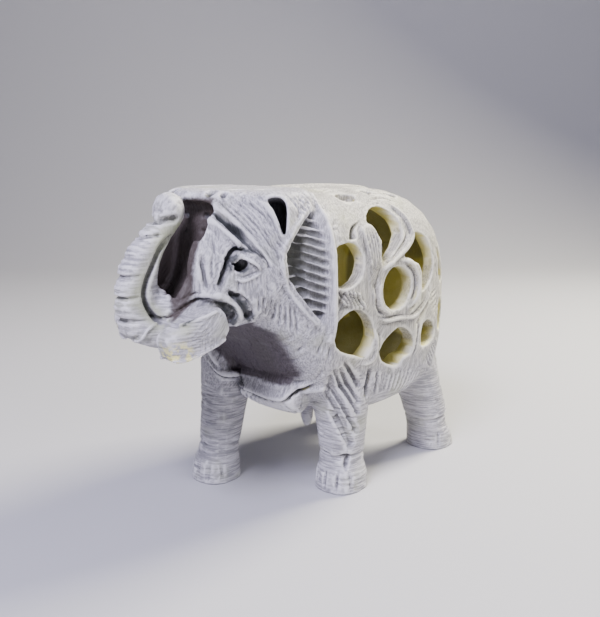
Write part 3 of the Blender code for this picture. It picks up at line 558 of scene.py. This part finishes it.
def carve_head(stone):
    draw(stone, SIDES, (*FACE_LINES, *FOREHEAD_FAN, *CHEEK_FAN, *NECK_FAN))
    draw(stone, ("front",), TRUNK_NOTCHES)
    for view in SIDES:
        x, z = PUPIL
        groove(stone, on_skin(stone, view, ((x, z), (x + 0.2, z))), PUPIL_RADIUS, PUPIL_DEPTH, 0)
    for x, y, radius in TOP_DOTS:
        for side in (-1, 1):
            groove(stone, on_skin(stone, "top", ((x, side * y), (x + 0.3, side * y))), radius, DOT_DEPTH, 0)


def carve_tusks(stone):
    """A crisp border round the outer face of each tusk, and shallow strokes along it."""
    root, tip = Vector(TUSK_ROOT), Vector(TUSK_TIP)
    along = (tip - root).normalized()
    across = Vector((-along.y, along.x)) * TUSK_HALF_DEPTH
    inset = along * (TUSK_HALF_DEPTH / 2)
    border = [root + across, tip + across - inset, tip + inset, tip - across - inset, root - across]
    lines = [(*TUSK_BORDER, [tuple(corner) for corner in border])]
    for i in range(TUSK_STROKES):
        aside = across * (TUSK_STROKE_SPREAD - 2 * TUSK_STROKE_SPREAD * i / (TUSK_STROKES - 1))
        stroke = [
            root + aside + along,
            root.lerp(tip, 0.5) + aside * TUSK_STROKE_MIDDLE,
            tip + aside * TUSK_STROKE_TIP - inset * TUSK_STROKE_GAP,
        ]
        lines.append((*TUSK_STROKE, [tuple(corner) for corner in stroke]))
    draw(stone, SIDES, lines)


def carve_ears(stone):
    ribs = (EAR_RIB_LEAN, EAR_RIB_PITCH, EAR_RIB_PHASE, EAR_RIB_DEPTH, EAR_RIB_SLOPE)
    for view in SIDES:
        comb(stone, view, EAR_FROM, EAR_OUTLINE, *ribs)
        sink(stone, view, EAR_FROM, EAR_FRONT_BAND, EAR_BAND_DEPTH, EAR_BAND_SLOPE)
    draw(stone, SIDES, EAR_LINES)


def carve_flanks(stone):
    for view in SIDES:
        for outline, depth, slope in FLANK_GROUNDS:
            sink(stone, view, FLANK_FROM, outline, depth, slope)
    draw(stone, SIDES, (*LEAF_LINES, *FLANK_LINES, *HATCHES))


def carve_ankle(stone, foot_x, foot_y, radius):
    x, y, z = stone.places.T
    near = np.hypot(x - foot_x, y - foot_y) < radius + ANKLE_REACH
    wave = ANKLE_HEIGHT + ANKLE_WAVE * np.sin(ANKLE_WAVES * np.arctan2(y - foot_y, x - foot_x))
    fall = np.clip(1 - ((z - wave) / ANKLE_HALF_WIDTH) ** 2, 0, 1)
    stone.depths += np.where(near, fall * ANKLE_DEPTH, 0)


def carve_toe(stone, foot_x, foot_y, radius, degrees):
    """One upright line between two toes, drawn in the view that its part of the foot faces."""
    turn = math.radians(degrees)
    view, edge = "front", foot_y + radius * math.sin(turn)
    if abs(degrees) > FRONT_DEGREES:
        view = "left" if degrees < 0 else "right"
        edge = foot_x - radius * math.cos(turn)
    draw(stone, (view,), [(*TOE_CUT, ((edge, TOE_BOTTOM), (edge, TOE_TOP)))])


def carve_legs(stone):
    draw(stone, ("left",), [(*LEG_BAR_CUT, bar) for bar in LEG_BARS])
    for foot in FEET:
        carve_ankle(stone, *foot)
        for degrees in TOE_DEGREES:
            carve_toe(stone, *foot, degrees)
    draw(stone, ("left",), [TOE_NOTCH])


def carve_chest_and_back(stone):
    draw(stone, ("front",), CHEST_LINES)
    sink(stone, "under", FRINGE_BELOW, FRINGE, FRINGE_DROP, FRINGE_SLOPE)
    draw(stone, ("under",), FRINGE_STROKES)
    for side in (-1, 1):
        lines = [
            (width, depth, ends, [(x, side * y) for x, y in path])
            for width, depth, ends, path in BACK_LINES
        ]
        draw(stone, ("top",), lines)


def fold_trunk(stone):
    """Fine folds close together across the outer face of the trunk."""
    middle = smooth_path(TRUNK_MIDDLE)
    travelled = np.concatenate(([0.0], np.cumsum([math.dist(a, b) for a, b in zip(middle, middle[1:])])))
    tree = KDTree(len(middle))
    for i, (x, z) in enumerate(middle):
        tree.insert((x, 0, z), i)
    tree.balance()
    x, y, z = stone.places.T
    front = (x < TRUNK_FRONT_FROM) & (np.abs(y) < TRUNK_HALF_WIDTH)
    front &= -stone.normals[:, 0] > TRUNK_LEAST_FACING
    for j in np.nonzero(front)[0]:
        place, normal = stone.places[j], stone.normals[j]
        near, i, _ = tree.find((place[0], 0, place[2]))
        outwards = np.array((place[0] - near.x, 0, place[2] - near.z))
        share = max(0.0, float(outwards @ normal) / (np.linalg.norm(outwards) + TINY))
        ridge = abs(math.sin(math.pi * travelled[i] / TRUNK_FOLD_PITCH))
        stone.depths[j] += TRUNK_FOLD_DEPTH * share * (1 - ridge)


def scrape(stone):
    """Short shallow strokes all over the outside, each area in its own direction."""
    dice = random.Random(STROKE_SEED)
    for views, corners, angle, spread, count, length, depth in STROKES:
        low, high = np.min(corners, axis=0), np.max(corners, axis=0)
        for view in views:
            made = 0
            while made < count:
                start = (dice.uniform(low[0], high[0]), dice.uniform(low[1], high[1]))
                turn = math.radians(angle + dice.uniform(-spread, spread))
                reach = length * dice.uniform(*STROKE_LENGTHS) / 2
                bend = dice.uniform(-STROKE_BEND, STROKE_BEND) * length
                if border_distance(np.array([start]), corners)[0] < 0:
                    continue
                made += 1
                along = (math.cos(turn) * reach, math.sin(turn) * reach)
                path = (
                    (start[0] - along[0], start[1] - along[1]),
                    (start[0] - along[1] / reach * bend, start[1] + along[0] / reach * bend),
                    (start[0] + along[0], start[1] + along[1]),
                )
                cut = depth * dice.uniform(*STROKE_DEPTHS)
                groove(stone, on_skin(stone, view, path), STROKE_HALF_WIDTH, cut, STROKE_ENDS)


def carve(block):
    """Carves all the relief into the block. Gives back how far each point lies on the hollow's walls."""
    stone = Stone(block)
    carve_head(stone)
    carve_tusks(stone)
    carve_ears(stone)
    carve_flanks(stone)
    carve_legs(stone)
    carve_chest_and_back(stone)
    fold_trunk(stone)
    scrape(stone)
    stone.settle()
    return inside_share(stone.places, stone.normals)


# The hollow of the body: the line through its middle, where its walls begin and end, its floor, and how
# far the painted glow of its walls, light shining through the thin stone, reaches out over the window rims
HOLLOW_FRONT = -12.0
HOLLOW_REAR = 14.0
HOLLOW_MIDDLE = 38.0
BODY_FRONT = -20.0
BODY_REAR = 24.5
BODY_LOWEST = 22.4
FLOOR_LOWEST = 19.5
FLOOR_FRONT = -16.0
FLOOR_FACING = 0.6
RIM_GLOW = 0.35
RIM_FADE = 6.0
WALL_START = 0.05
WALL_FADE = 0.5


def inside_share(places, normals):
    """From 0 on the outside of the body to 1 on the walls of its hollow, which face its middle."""
    x, y, z = places.T
    towards = np.stack((np.clip(x, HOLLOW_FRONT, HOLLOW_REAR) - x, -y, HOLLOW_MIDDLE - z), axis=1)
    towards /= np.linalg.norm(towards, axis=1)[:, None] + TINY
    turned = (towards * normals).sum(axis=1)
    floor = (z > FLOOR_LOWEST) & (x > FLOOR_FRONT) & (normals[:, 2] > FLOOR_FACING)
    body = (x > BODY_FRONT) & (x < BODY_REAR) & ((z > BODY_LOWEST) | floor)
    rims = RIM_GLOW * ease((x - HOLLOW_FRONT) / RIM_FADE)
    return np.where(body, ease((turned + WALL_START + rims) / (WALL_FADE + rims)), 0)


# Painted shade: the shade in the space behind the trunk, and in a band under the throat
FACE_POCKET = (
    (-37.8, 58.8), (-39.0, 56.2), (-40.0, 54.0), (-41.6, 51.8), (-43.6, 48.6), (-44.2, 46.2), (-44.3, 43.0),
    (-45.2, 40.2), (-46.4, 37.4), (-44.8, 36.8), (-42.4, 39.0), (-40.2, 41.2), (-37.6, 44.4), (-36.4, 48.0),
    (-35.8, 51.0), (-35.1, 54.4), (-34.6, 57.4), (-36.0, 59.0),
)
POCKET_HALF_WIDTH = 6.6
THROAT = ((-31.5, 36.4), (-27.0, 33.6), (-23.8, 29.6), (-22.0, 26.2), (-21.4, 24.4))
THROAT_HALF_WIDTH = 13.6
THROAT_WIDTH = 1.5
THROAT_FADE = 3.0
SHADE_FADE = 0.5


def pocket_and_throat_shade(places):
    """The painted shade behind the trunk and under the throat, each from 0 on lit stone to 1."""
    side = places[:, (0, 2)]
    width = np.abs(places[:, 1])
    pocket = ease(border_distance(side, FACE_POCKET) / SHADE_FADE + 1)
    throat = ease((THROAT_WIDTH - line_distance(side, THROAT)) / SHADE_FADE)
    pocket = pocket * ease((POCKET_HALF_WIDTH - width) / SHADE_FADE)
    return pocket, throat * ease((THROAT_HALF_WIDTH - width) / THROAT_FADE)


# Narrow grooves of the face that get painted shade: half width at the start, middle and end, and the path
SHADED_GROOVES = (
    ((0.20, 0.62, 0.05), ((-37.3, 57.0), (-36.1, 55.3), (-34.7, 52.7), (-33.4, 50.2), (-32.1, 48.0))),
    ((0.35, 0.50, 0.45), ((-34.4, 50.5), (-35.4, 51.0), (-36.4, 50.1), (-37.1, 47.9), (-37.9, 45.2))),
    ((0.30, 0.60, 0.50), ((-38.4, 42.0), (-37.0, 41.0), (-36.0, 39.4), (-35.4, 37.6))),
    ((0.30, 0.60, 0.50), ((-36.6, 43.6), (-35.2, 42.5), (-33.9, 40.8), (-32.4, 38.2))),
    ((0.20, 0.30, 0.20), ((-40.0, 42.8), (-42.4, 41.9), (-44.6, 40.8), (-46.6, 39.5))),
    ((0.90, 0.90, 0.90), ((-35.3, 47.75), (-35.2, 47.65))),
)

# Where along a dark line its middle width is reached, how soft its edge is, and where the face begins
DARK_MIDDLE = 0.35
DARK_FADE = 0.22
DARK_REACH = 0.6
FACE_SIDE = 5.5

# The holes on top of the head: the share of their radius that gets painted shade, its soft edge, and their
# height
DOT_SHADE = 0.8
DOT_FADE = 0.3
DOTS_ABOVE = 55.0


def hole_shade_share(places):
    """From 0 to 1 in the painted shade of the holes on top of the head."""
    share = np.zeros(len(places))
    top = np.nonzero(places[:, 2] > DOTS_ABOVE)[0]
    for x, y, radius in TOP_DOTS:
        across = np.hypot(places[top, 0] - x, np.abs(places[top, 1]) - y)
        share[top] = np.maximum(share[top], ease((radius * DOT_SHADE - across) / DOT_FADE + 0.5))
    return share


def groove_shade_share(places):
    """From 0 to 1 in the painted shade of the grooves round the eye and the mouth, and of the holes on top.
    """
    side = places[:, (0, 2)]
    share = hole_shade_share(places)
    for (start, middle, end), path in SHADED_GROOVES:
        points = smooth_path(path)
        widths = np.interp(np.linspace(0, 1, len(points)), (0, DARK_MIDDLE, 1), (start, middle, end))
        near = np.nonzero(line_distance(side, path) < max(start, middle, end) + DARK_REACH)[0]
        for point, width in zip(points, widths):
            distance = np.linalg.norm(side[near] - point, axis=1)
            share[near] = np.maximum(share[near], ease((width - distance) / DARK_FADE + 0.5))
    return share * ((np.abs(places[:, 1]) > FACE_SIDE) | (places[:, 2] > DOTS_ABOVE))


# Yellow-green stone beside the trunk's groove and on the tusk's tip: the path or the middle, how far it
# reaches, and how much of that is full colour
TRUNK_GROOVE = (
    (-41.2, 54.3), (-44.2, 52.1), (-46.3, 48.9), (-48.3, 46.6), (-49.2, 44.3), (-48.8, 42.4), (-46.9, 39.6),
)
TRUNK_TINT_WIDTH = 2.4
TRUNK_TINT_CORE = 1.2
TRUNK_TINT_FACING = 2
TUSK_SPOT = (-47.6, 34.4)
TUSK_SPOT_WIDTH = 2.6
TUSK_SPOT_CORE = 1.3
TUSK_SPOT_FROM = 7.0


def tint_share(places, normals):
    """The tint beside the trunk's groove and the tint on the tusk's tip, each from 0 to 1."""
    side = places[:, (0, 2)]
    trunk = ease(TRUNK_TINT_CORE - line_distance(side, TRUNK_GROOVE) / TRUNK_TINT_WIDTH)
    trunk = trunk * ease(np.abs(normals[:, 1]) * TRUNK_TINT_FACING)
    spot = ease(TUSK_SPOT_CORE - np.linalg.norm(side - np.array(TUSK_SPOT), axis=1) / TUSK_SPOT_WIDTH)
    return trunk, spot * (np.abs(places[:, 1]) > TUSK_SPOT_FROM)


# How far below its neighbours a point lies in the deepest hollows
HOLLOW_DEPTH = 0.12


def hollows_and_edges(mesh, places, normals):
    """How far each point lies below its neighbours, from -1 on a sharp edge to 1 in a narrow groove."""
    ends = np.empty(len(mesh.edges) * 2, dtype=np.int32)
    mesh.edges.foreach_get("vertices", ends)
    ends = ends.reshape(-1, 2)
    count = np.bincount(ends.ravel(), minlength=len(places))[:, None]

    def near_mean(values):
        total = np.zeros_like(values)
        np.add.at(total, ends[:, 0], values[ends[:, 1]])
        np.add.at(total, ends[:, 1], values[ends[:, 0]])
        return total / np.maximum(count, 1)

    wide = near_mean(near_mean(places))
    below = ((wide - places) * normals).sum(axis=1)[:, None]
    below = (below + near_mean(below)) / 2
    return np.clip(below[:, 0] / HOLLOW_DEPTH, -1, 1)


# Painted shade in the ears' hollows, darkest near their front edge
EAR_SIDE = 9.0
EAR_EDGE = 0.8
EAR_REAR_SHARE = 0.45
EAR_SHADE_FROM = -22.4
EAR_SHADE_WIDTH = 3.5


def ear_shade_share(places):
    """The painted shade of each ear, from 0 to 1 towards its front edge."""
    distance = border_distance(places[:, (0, 2)], EAR_OUTLINE)
    frontness = ease((EAR_SHADE_FROM - places[:, 0]) / EAR_SHADE_WIDTH)
    frontness = EAR_REAR_SHARE + (1 - EAR_REAR_SHARE) * frontness
    return ease(distance / EAR_EDGE) * frontness * (np.abs(places[:, 1]) > EAR_SIDE)


# The fine file marks lie level on the legs and on the trunk, slanting on the forehead and elsewhere upright
LEVEL_BELOW = 22.0
LEVEL_FADE = 4.0
TRUNK_MARKS_FROM = -43.0
TRUNK_MARKS_FADE = 1.5
TRUNK_MARKS_SHARE = 0.8
FOREHEAD = ((-39.0, 60.5), (-26.0, 60.5), (-28.0, 50.0), (-31.0, 46.0), (-37.5, 55.0))
FOREHEAD_FADE = 2.0


def mark_shares(places):
    """How level and how slanting the file marks lie, each from 0 to 1."""
    x, _, z = places.T
    legs = ease((LEVEL_BELOW - z) / LEVEL_FADE)
    trunk = ease((TRUNK_MARKS_FROM - x) / TRUNK_MARKS_FADE) * TRUNK_MARKS_SHARE
    slanting = ease(border_distance(places[:, (0, 2)], FOREHEAD) / FOREHEAD_FADE + 0.5)
    return np.maximum(legs, trunk), slanting


# The stone is creamier from the shoulder back, above the legs
CREAM_FROM = -22.0
CREAM_WIDTH = 8.0
CREAM_HEIGHT = 8.0


def cream_share(places):
    x, _, z = places.T
    return ease((x - CREAM_FROM) / CREAM_WIDTH) * ease((z - LEVEL_BELOW) / CREAM_HEIGHT)


def paint(elephant):
    """Gives every point of the skin the values that the stone's colour and marks are read from."""
    mesh = elephant.data
    places, normals = skin_of(mesh)
    pocket, throat = pocket_and_throat_shade(places)
    trunk_tint, tusk_spot = tint_share(places, normals)
    level, slanting = mark_shares(places)
    values = {
        "inside": inside_share(places, normals),
        "shaded_lines": groove_shade_share(places),
        "pocket": pocket,
        "throat": throat,
        "trunk_tint": trunk_tint,
        "tusk_spot": tusk_spot,
        "groove": hollows_and_edges(mesh, places, normals),
        "level_marks": level,
        "slanting_marks": slanting,
        "ear": ear_shade_share(places),
        "cream": cream_share(places),
    }
    for name, shares in values.items():
        layer = mesh.attributes.new(name, "FLOAT", "POINT")
        layer.data.foreach_set("value", np.asarray(shares, dtype=np.float32))


class Shading:
    """The nodes of one material or group, added one after another."""

    def __init__(self, tree):
        self.tree = tree

    def add(self, kind, settings=None, inputs=None):
        """A node with its settings, and a value or a link for each input, by its name or number."""
        node = self.tree.nodes.new(kind)
        for key, value in (settings or {}).items():
            setattr(node, key, value)
        for key, value in (inputs or {}).items():
            self.feed(node, key, value)
        return node

    def feed(self, node, key, value):
        if isinstance(value, bpy.types.NodeSocket):
            self.tree.links.new(value, node.inputs[key])
        else:
            node.inputs[key].default_value = value

    def attribute(self, name):
        return self.add("ShaderNodeAttribute", {"attribute_name": name}).outputs["Fac"]

    def math(self, operation, a, b, clamp=False):
        settings = {"operation": operation, "use_clamp": clamp}
        return self.add("ShaderNodeMath", settings, {0: a, 1: b}).outputs[0]

    def spread(self, value, low, high, to_low=0.0, to_high=1.0):
        """Reads a value between low and high as a share, with a soft start and end."""
        ends = {"From Min": low, "From Max": high, "To Min": to_low, "To Max": to_high}
        node = self.add("ShaderNodeMapRange", {"interpolation_type": "SMOOTHSTEP"}, {0: value, **ends})
        return node.outputs["Result"]

    def mix(self, share, first, second):
        """Between two values."""
        return self.add("ShaderNodeMix", None, {0: share, 2: first, 3: second}).outputs[0]

    def blend(self, share, first, second, kind="MIX"):
        """Between two colours."""
        settings = {"data_type": "RGBA", "blend_type": kind}
        return self.add("ShaderNodeMix", settings, {0: share, 6: first, 7: second}).outputs[2]

    def tint(self, colour, name, strength, second, kind="MIX"):
        """Lays a second colour over the first where an attribute of the skin says so."""
        return self.blend(self.math("MULTIPLY", self.attribute(name), strength), colour, second, kind)

    def noise(self, vector, scale, detail=3.0, roughness=0.55):
        inputs = {"Vector": vector, "Scale": scale, "Detail": detail, "Roughness": roughness}
        return self.add("ShaderNodeTexNoise", None, inputs).outputs["Fac"]


def file_marks():
    """A group: long thin marks side by side. Turn is their direction and Grain their length and width."""
    group = bpy.data.node_groups.new("file_marks", "ShaderNodeTree")
    for name in ("Vector", "Turn", "Grain"):
        group.interface.new_socket(name, in_out="INPUT", socket_type="NodeSocketVector")
    group.interface.new_socket("Height", in_out="OUTPUT", socket_type="NodeSocketFloat")
    shading = Shading(group)
    given = shading.add("NodeGroupInput").outputs
    inputs = {"Vector": given["Vector"], "Rotation": given["Turn"], "Scale": given["Grain"]}
    turned = shading.add("ShaderNodeMapping", {"vector_type": "TEXTURE"}, inputs)
    height = shading.noise(turned.outputs["Vector"], 1.0, 3.0, 0.6)
    shading.add("NodeGroupOutput", None, {"Height": height})
    return group


# Length and width of the fine marks in metres, and the turns that lay them level, upright and slanting
MARK_LONG = 0.0042
MARK_WIDE = 0.00030
LEVEL_GRAIN = (MARK_LONG, MARK_LONG, MARK_WIDE)
UPRIGHT_GRAIN = (MARK_WIDE, MARK_WIDE, MARK_LONG)
SLANTING_GRAIN = (MARK_LONG, MARK_WIDE, MARK_WIDE)
FOREHEAD_TURN = (0.0, math.radians(61), 0.0)
SHOULDER_TURN = (0.0, math.radians(-48), 0.0)
NO_TURN = (0.0, 0.0, 0.0)

STONE_GROUND = (0.285, 0.280, 0.300, 1.0)
STONE_SCRAPED = (0.60, 0.585, 0.62, 1.0)
STONE_GREEN = (0.40, 0.42, 0.28, 1.0)
STONE_CREAM = (1.0, 0.98, 0.80, 1.0)
# Painted glow: the olive and the yellow stand for light shining through the hollow's thin walls; the yellow
# is also the tusk's own spots
GLOW_OLIVE = (0.74, 0.67, 0.14, 1.0)
STONE_AND_GLOW_YELLOW = (0.92, 0.86, 0.32, 1.0)
# Painted shade behind the trunk and under the throat
POCKET_SHADE = (0.040, 0.026, 0.022, 1.0)
THROAT_SHADE = (0.032, 0.020, 0.026, 1.0)
# Painted shade in the grooves round the eye and the mouth, and in the holes on top
LINE_SHADE = (0.030, 0.034, 0.036, 1.0)
# Painted shade in the ears' hollows
EAR_SHADE = (0.100, 0.104, 0.088, 1.0)
# Dirt together with painted shade in grooves and close corners
GROOVE_DIRT_AND_SHADE = (0.070, 0.070, 0.076, 1.0)
EDGE_WHITE = (0.80, 0.79, 0.81, 1.0)

# Noise over the stone: scale in waves per metre, detail and roughness
MARK_PATCHES = (160.0, 2.0)
SPECKLES = (5200.0, 2.0, 0.7)
CLOUDS = (110.0, 3.0, 0.6)
SPOTS = (900.0, 2.0)

# How a value is read as a share: its low and high end, and the shares there where they aren't 0 and 1
PATCH_RANGE = (0.42, 0.58)
SCRAPED_RANGE = (0.40, 0.60)
SPECKLE_RANGE = (0.35, 0.65, 0.35, 0.0)
GREEN_CLOUDS = (0.50, 0.72, 0.0, 0.42)
WHITE_EDGES = (-0.25, -0.9, 0.0, 0.75)
TRUNK_CLOUDS = (0.35, 0.65, 0.45, 0.9)
TUSK_SPOTS = (0.45, 0.60, 0.0, 0.9)
GLOW_CLOUDS = (0.40, 0.62)
DARK_GROOVES = (0.20, 0.95, 0.0, 0.60)
CLOSED_CORNERS = (0.70, 0.15, 0.0, 0.62)
EAR_HOLLOWS = (-0.25, 0.35, 0.0, 0.9)
ROUGHNESS_RANGE = (0.3, 0.7, 0.72, 0.48)

# How strong each tint is where its attribute is 1, and how the bumps are made
CREAM_STRENGTH = 0.85
INSIDE_GLOW_STRENGTH = 0.88
LINE_STRENGTH = 0.93
THROAT_STRENGTH = 0.92
POCKET_STRENGTH = 0.95
CORNER_REACH = 0.0032
CORNER_SAMPLES = 12
SPECKLE_HEIGHT = 0.22
BUMP_STRENGTH = 0.9
BUMP_DISTANCE = 0.00022


def mark_height(shading, place):
    """The height of the fine marks, each area of the stone with its own direction."""
    group = file_marks()

    def layer(turn, grain):
        inputs = {"Vector": place, "Turn": turn, "Grain": grain}
        return shading.add("ShaderNodeGroup", {"node_tree": group}, inputs).outputs["Height"]

    level = layer(NO_TURN, LEVEL_GRAIN)
    upright = layer(NO_TURN, UPRIGHT_GRAIN)
    forehead = layer(FOREHEAD_TURN, SLANTING_GRAIN)
    shoulder = layer(SHOULDER_TURN, SLANTING_GRAIN)
    patches = shading.spread(shading.noise(place, *MARK_PATCHES), *PATCH_RANGE)
    height = shading.mix(patches, upright, shoulder)
    height = shading.mix(shading.attribute("level_marks"), height, level)
    return shading.mix(shading.attribute("slanting_marks"), height, forehead)


def clean_stone(shading, marks, speckle, cloud, groove_value):
    """The stone's own colour: darker ground, pale scraped marks, green clouds and white edges."""
    colour = shading.blend(shading.spread(marks, *SCRAPED_RANGE), STONE_GROUND, STONE_SCRAPED)
    colour = shading.blend(shading.spread(speckle, *SPECKLE_RANGE), colour, STONE_GROUND)
    colour = shading.blend(shading.spread(cloud, *GREEN_CLOUDS), colour, STONE_GREEN)
    return shading.blend(shading.spread(groove_value, *WHITE_EDGES), colour, EDGE_WHITE)


def tinted_stone(shading, place, colour, cloud):
    """Cream on the body, green and yellow on the trunk and tusks, and a painted olive glow inside the
    hollow.
    """
    spots = shading.spread(shading.noise(place, *SPOTS), *TUSK_SPOTS)
    painted_glow = shading.blend(shading.spread(cloud, *GLOW_CLOUDS), GLOW_OLIVE, STONE_AND_GLOW_YELLOW)
    colour = shading.tint(colour, "cream", CREAM_STRENGTH, STONE_CREAM, "MULTIPLY")
    colour = shading.tint(colour, "trunk_tint", shading.spread(cloud, *TRUNK_CLOUDS), STONE_GREEN)
    colour = shading.tint(colour, "tusk_spot", spots, STONE_AND_GLOW_YELLOW)
    # Painted glow on the hollow's walls, as if light shone through the thin stone
    return shading.tint(colour, "inside", INSIDE_GLOW_STRENGTH, painted_glow)


def darkened_stone(shading, colour, groove_value):
    """Dirt with painted shade in grooves and close corners outside the hollow, and painted shade in the
    ears, grooves, pocket and throat.
    """
    # Ambient occlusion paints shade, together with dirt, into close corners and grooves
    settings = {"samples": CORNER_SAMPLES, "inside": False}
    corners = shading.add("ShaderNodeAmbientOcclusion", settings, {"Distance": CORNER_REACH})
    outside = shading.math("SUBTRACT", 1.0, shading.attribute("inside"), True)
    closed = shading.math("MULTIPLY", shading.spread(corners.outputs["AO"], *CLOSED_CORNERS), outside)
    colour = shading.blend(shading.spread(groove_value, *DARK_GROOVES), colour, GROOVE_DIRT_AND_SHADE)
    colour = shading.blend(closed, colour, GROOVE_DIRT_AND_SHADE)
    # Painted shade in the hollows between the ear's ribs
    colour = shading.tint(colour, "ear", shading.spread(groove_value, *EAR_HOLLOWS), EAR_SHADE)
    # Painted shade in the grooves of the face and in the holes
    colour = shading.tint(colour, "shaded_lines", LINE_STRENGTH, LINE_SHADE)
    # Painted shade under the throat and in the pocket behind the trunk
    colour = shading.tint(colour, "throat", THROAT_STRENGTH, THROAT_SHADE)
    return shading.tint(colour, "pocket", POCKET_STRENGTH, POCKET_SHADE)


def soapstone():
    material = bpy.data.materials.new("soapstone")
    material.use_nodes = True
    shading = Shading(material.node_tree)
    shader = material.node_tree.nodes["Principled BSDF"]
    place = shading.add("ShaderNodeTexCoord").outputs["Object"]
    marks = mark_height(shading, place)
    speckle = shading.noise(place, *SPECKLES)
    cloud = shading.noise(place, *CLOUDS)
    groove_value = shading.attribute("groove")
    colour = clean_stone(shading, marks, speckle, cloud, groove_value)
    colour = tinted_stone(shading, place, colour, cloud)
    colour = darkened_stone(shading, colour, groove_value)
    height = shading.math("ADD", marks, shading.math("MULTIPLY", speckle, SPECKLE_HEIGHT))
    bumps = {"Strength": BUMP_STRENGTH, "Distance": BUMP_DISTANCE, "Height": height}
    shading.feed(shader, "Base Color", colour)
    shading.feed(shader, "Roughness", shading.spread(marks, *ROUGHNESS_RANGE))
    shading.feed(shader, "Normal", shading.add("ShaderNodeBump", None, bumps).outputs["Normal"])
    return material


def look_at(direction):
    return direction.to_track_quat("-Z", "Y").to_euler()


# The camera of the photograph: place and nearest sight in millimetres, turn and dip in degrees, and lens
CAMERA_PLACE = (-109.97, -105.2, 67.06)
CAMERA_YAW = 43.0
CAMERA_PITCH = 11.68
CAMERA_LENS = 44.74
CAMERA_NEAR = 10.0


def add_camera():
    yaw, pitch = math.radians(CAMERA_YAW), math.radians(CAMERA_PITCH)
    forward = Vector((math.cos(yaw) * math.cos(pitch), math.sin(yaw) * math.cos(pitch), -math.sin(pitch)))
    data = bpy.data.cameras.new("camera")
    data.lens = CAMERA_LENS
    data.clip_start = CAMERA_NEAR * MM
    camera = bpy.data.objects.new("camera", data)
    camera.location = Vector(CAMERA_PLACE) * MM
    camera.rotation_euler = look_at(forward)
    bpy.context.scene.collection.objects.link(camera)
    bpy.context.scene.camera = camera


# Soft lamps: place and aim in millimetres, width, watts and colour
LAMPS = {
    "front_key": ((-250, -90, 310), (-10, 0, 32), 110, 2.6, (0.80, 0.78, 1.0)),
    "left_fill": ((60, -420, 280), (0, 0, 30), 240, 0.8, (0.98, 0.97, 1.0)),
    "rear_warm": ((240, -60, 260), (10, 0, 38), 120, 3.2, (1.0, 0.94, 0.76)),
}
WORLD_COLOUR = (0.62, 0.62, 0.70, 1.0)
WORLD_STRENGTH = 0.19


def add_lights():
    for name, (place, aim, width, watts, colour) in LAMPS.items():
        data = bpy.data.lights.new(name, "AREA")
        data.size = width * MM
        data.energy = watts
        data.color = colour
        lamp = bpy.data.objects.new(name, data)
        lamp.location = Vector(place) * MM
        lamp.rotation_euler = look_at(Vector(aim) - Vector(place))
        bpy.context.scene.collection.objects.link(lamp)
    world = bpy.data.worlds.new("studio")
    world.use_nodes = True
    sky = world.node_tree.nodes["Background"]
    sky.inputs["Color"].default_value = WORLD_COLOUR
    sky.inputs["Strength"].default_value = WORLD_STRENGTH
    bpy.context.scene.world = world


FLOOR_SIZE = 4.0
FLOOR_STEPS = 240
FLOOR_COLOUR = (0.50, 0.50, 0.53, 1.0)
FLOOR_ROUGHNESS = 0.7
WALL_DISTANCE = 0.28
WALL_BEND = 0.22


def add_floor():
    """A pale floor that bends up into a wall behind the figure, square to the camera."""
    deselect_all()
    bpy.ops.mesh.primitive_grid_add(x_subdivisions=FLOOR_STEPS, y_subdivisions=2, size=FLOOR_SIZE)
    floor = bpy.context.active_object
    floor.name = "floor"
    yaw = math.radians(CAMERA_YAW)
    for vertex in floor.data.vertices:
        x, y, _ = vertex.co
        past = max(0.0, x - WALL_DISTANCE)
        angle = min(past / WALL_BEND, math.pi / 2)
        across = min(x, WALL_DISTANCE) + WALL_BEND * math.sin(angle)
        up = WALL_BEND * (1 - math.cos(angle)) + past - WALL_BEND * angle
        turned = (across * math.cos(yaw) - y * math.sin(yaw), across * math.sin(yaw) + y * math.cos(yaw), up)
        vertex.co = turned
    bpy.ops.object.shade_smooth()
    material = bpy.data.materials.new("floor")
    material.use_nodes = True
    shader = material.node_tree.nodes["Principled BSDF"]
    shader.inputs["Base Color"].default_value = FLOOR_COLOUR
    shader.inputs["Roughness"].default_value = FLOOR_ROUGHNESS
    floor.data.materials.append(material)


def main():
    add_camera()
    add_lights()
    add_floor()
    elephant = rough_block()
    hidden = carve(elephant)
    thin_out(elephant, hidden)
    paint(elephant)
    elephant.data.materials.clear()
    elephant.data.materials.append(soapstone())
    pick(elephant)
    bpy.ops.object.shade_smooth()
    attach(elephant, "root")
    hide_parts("elephant")


main()
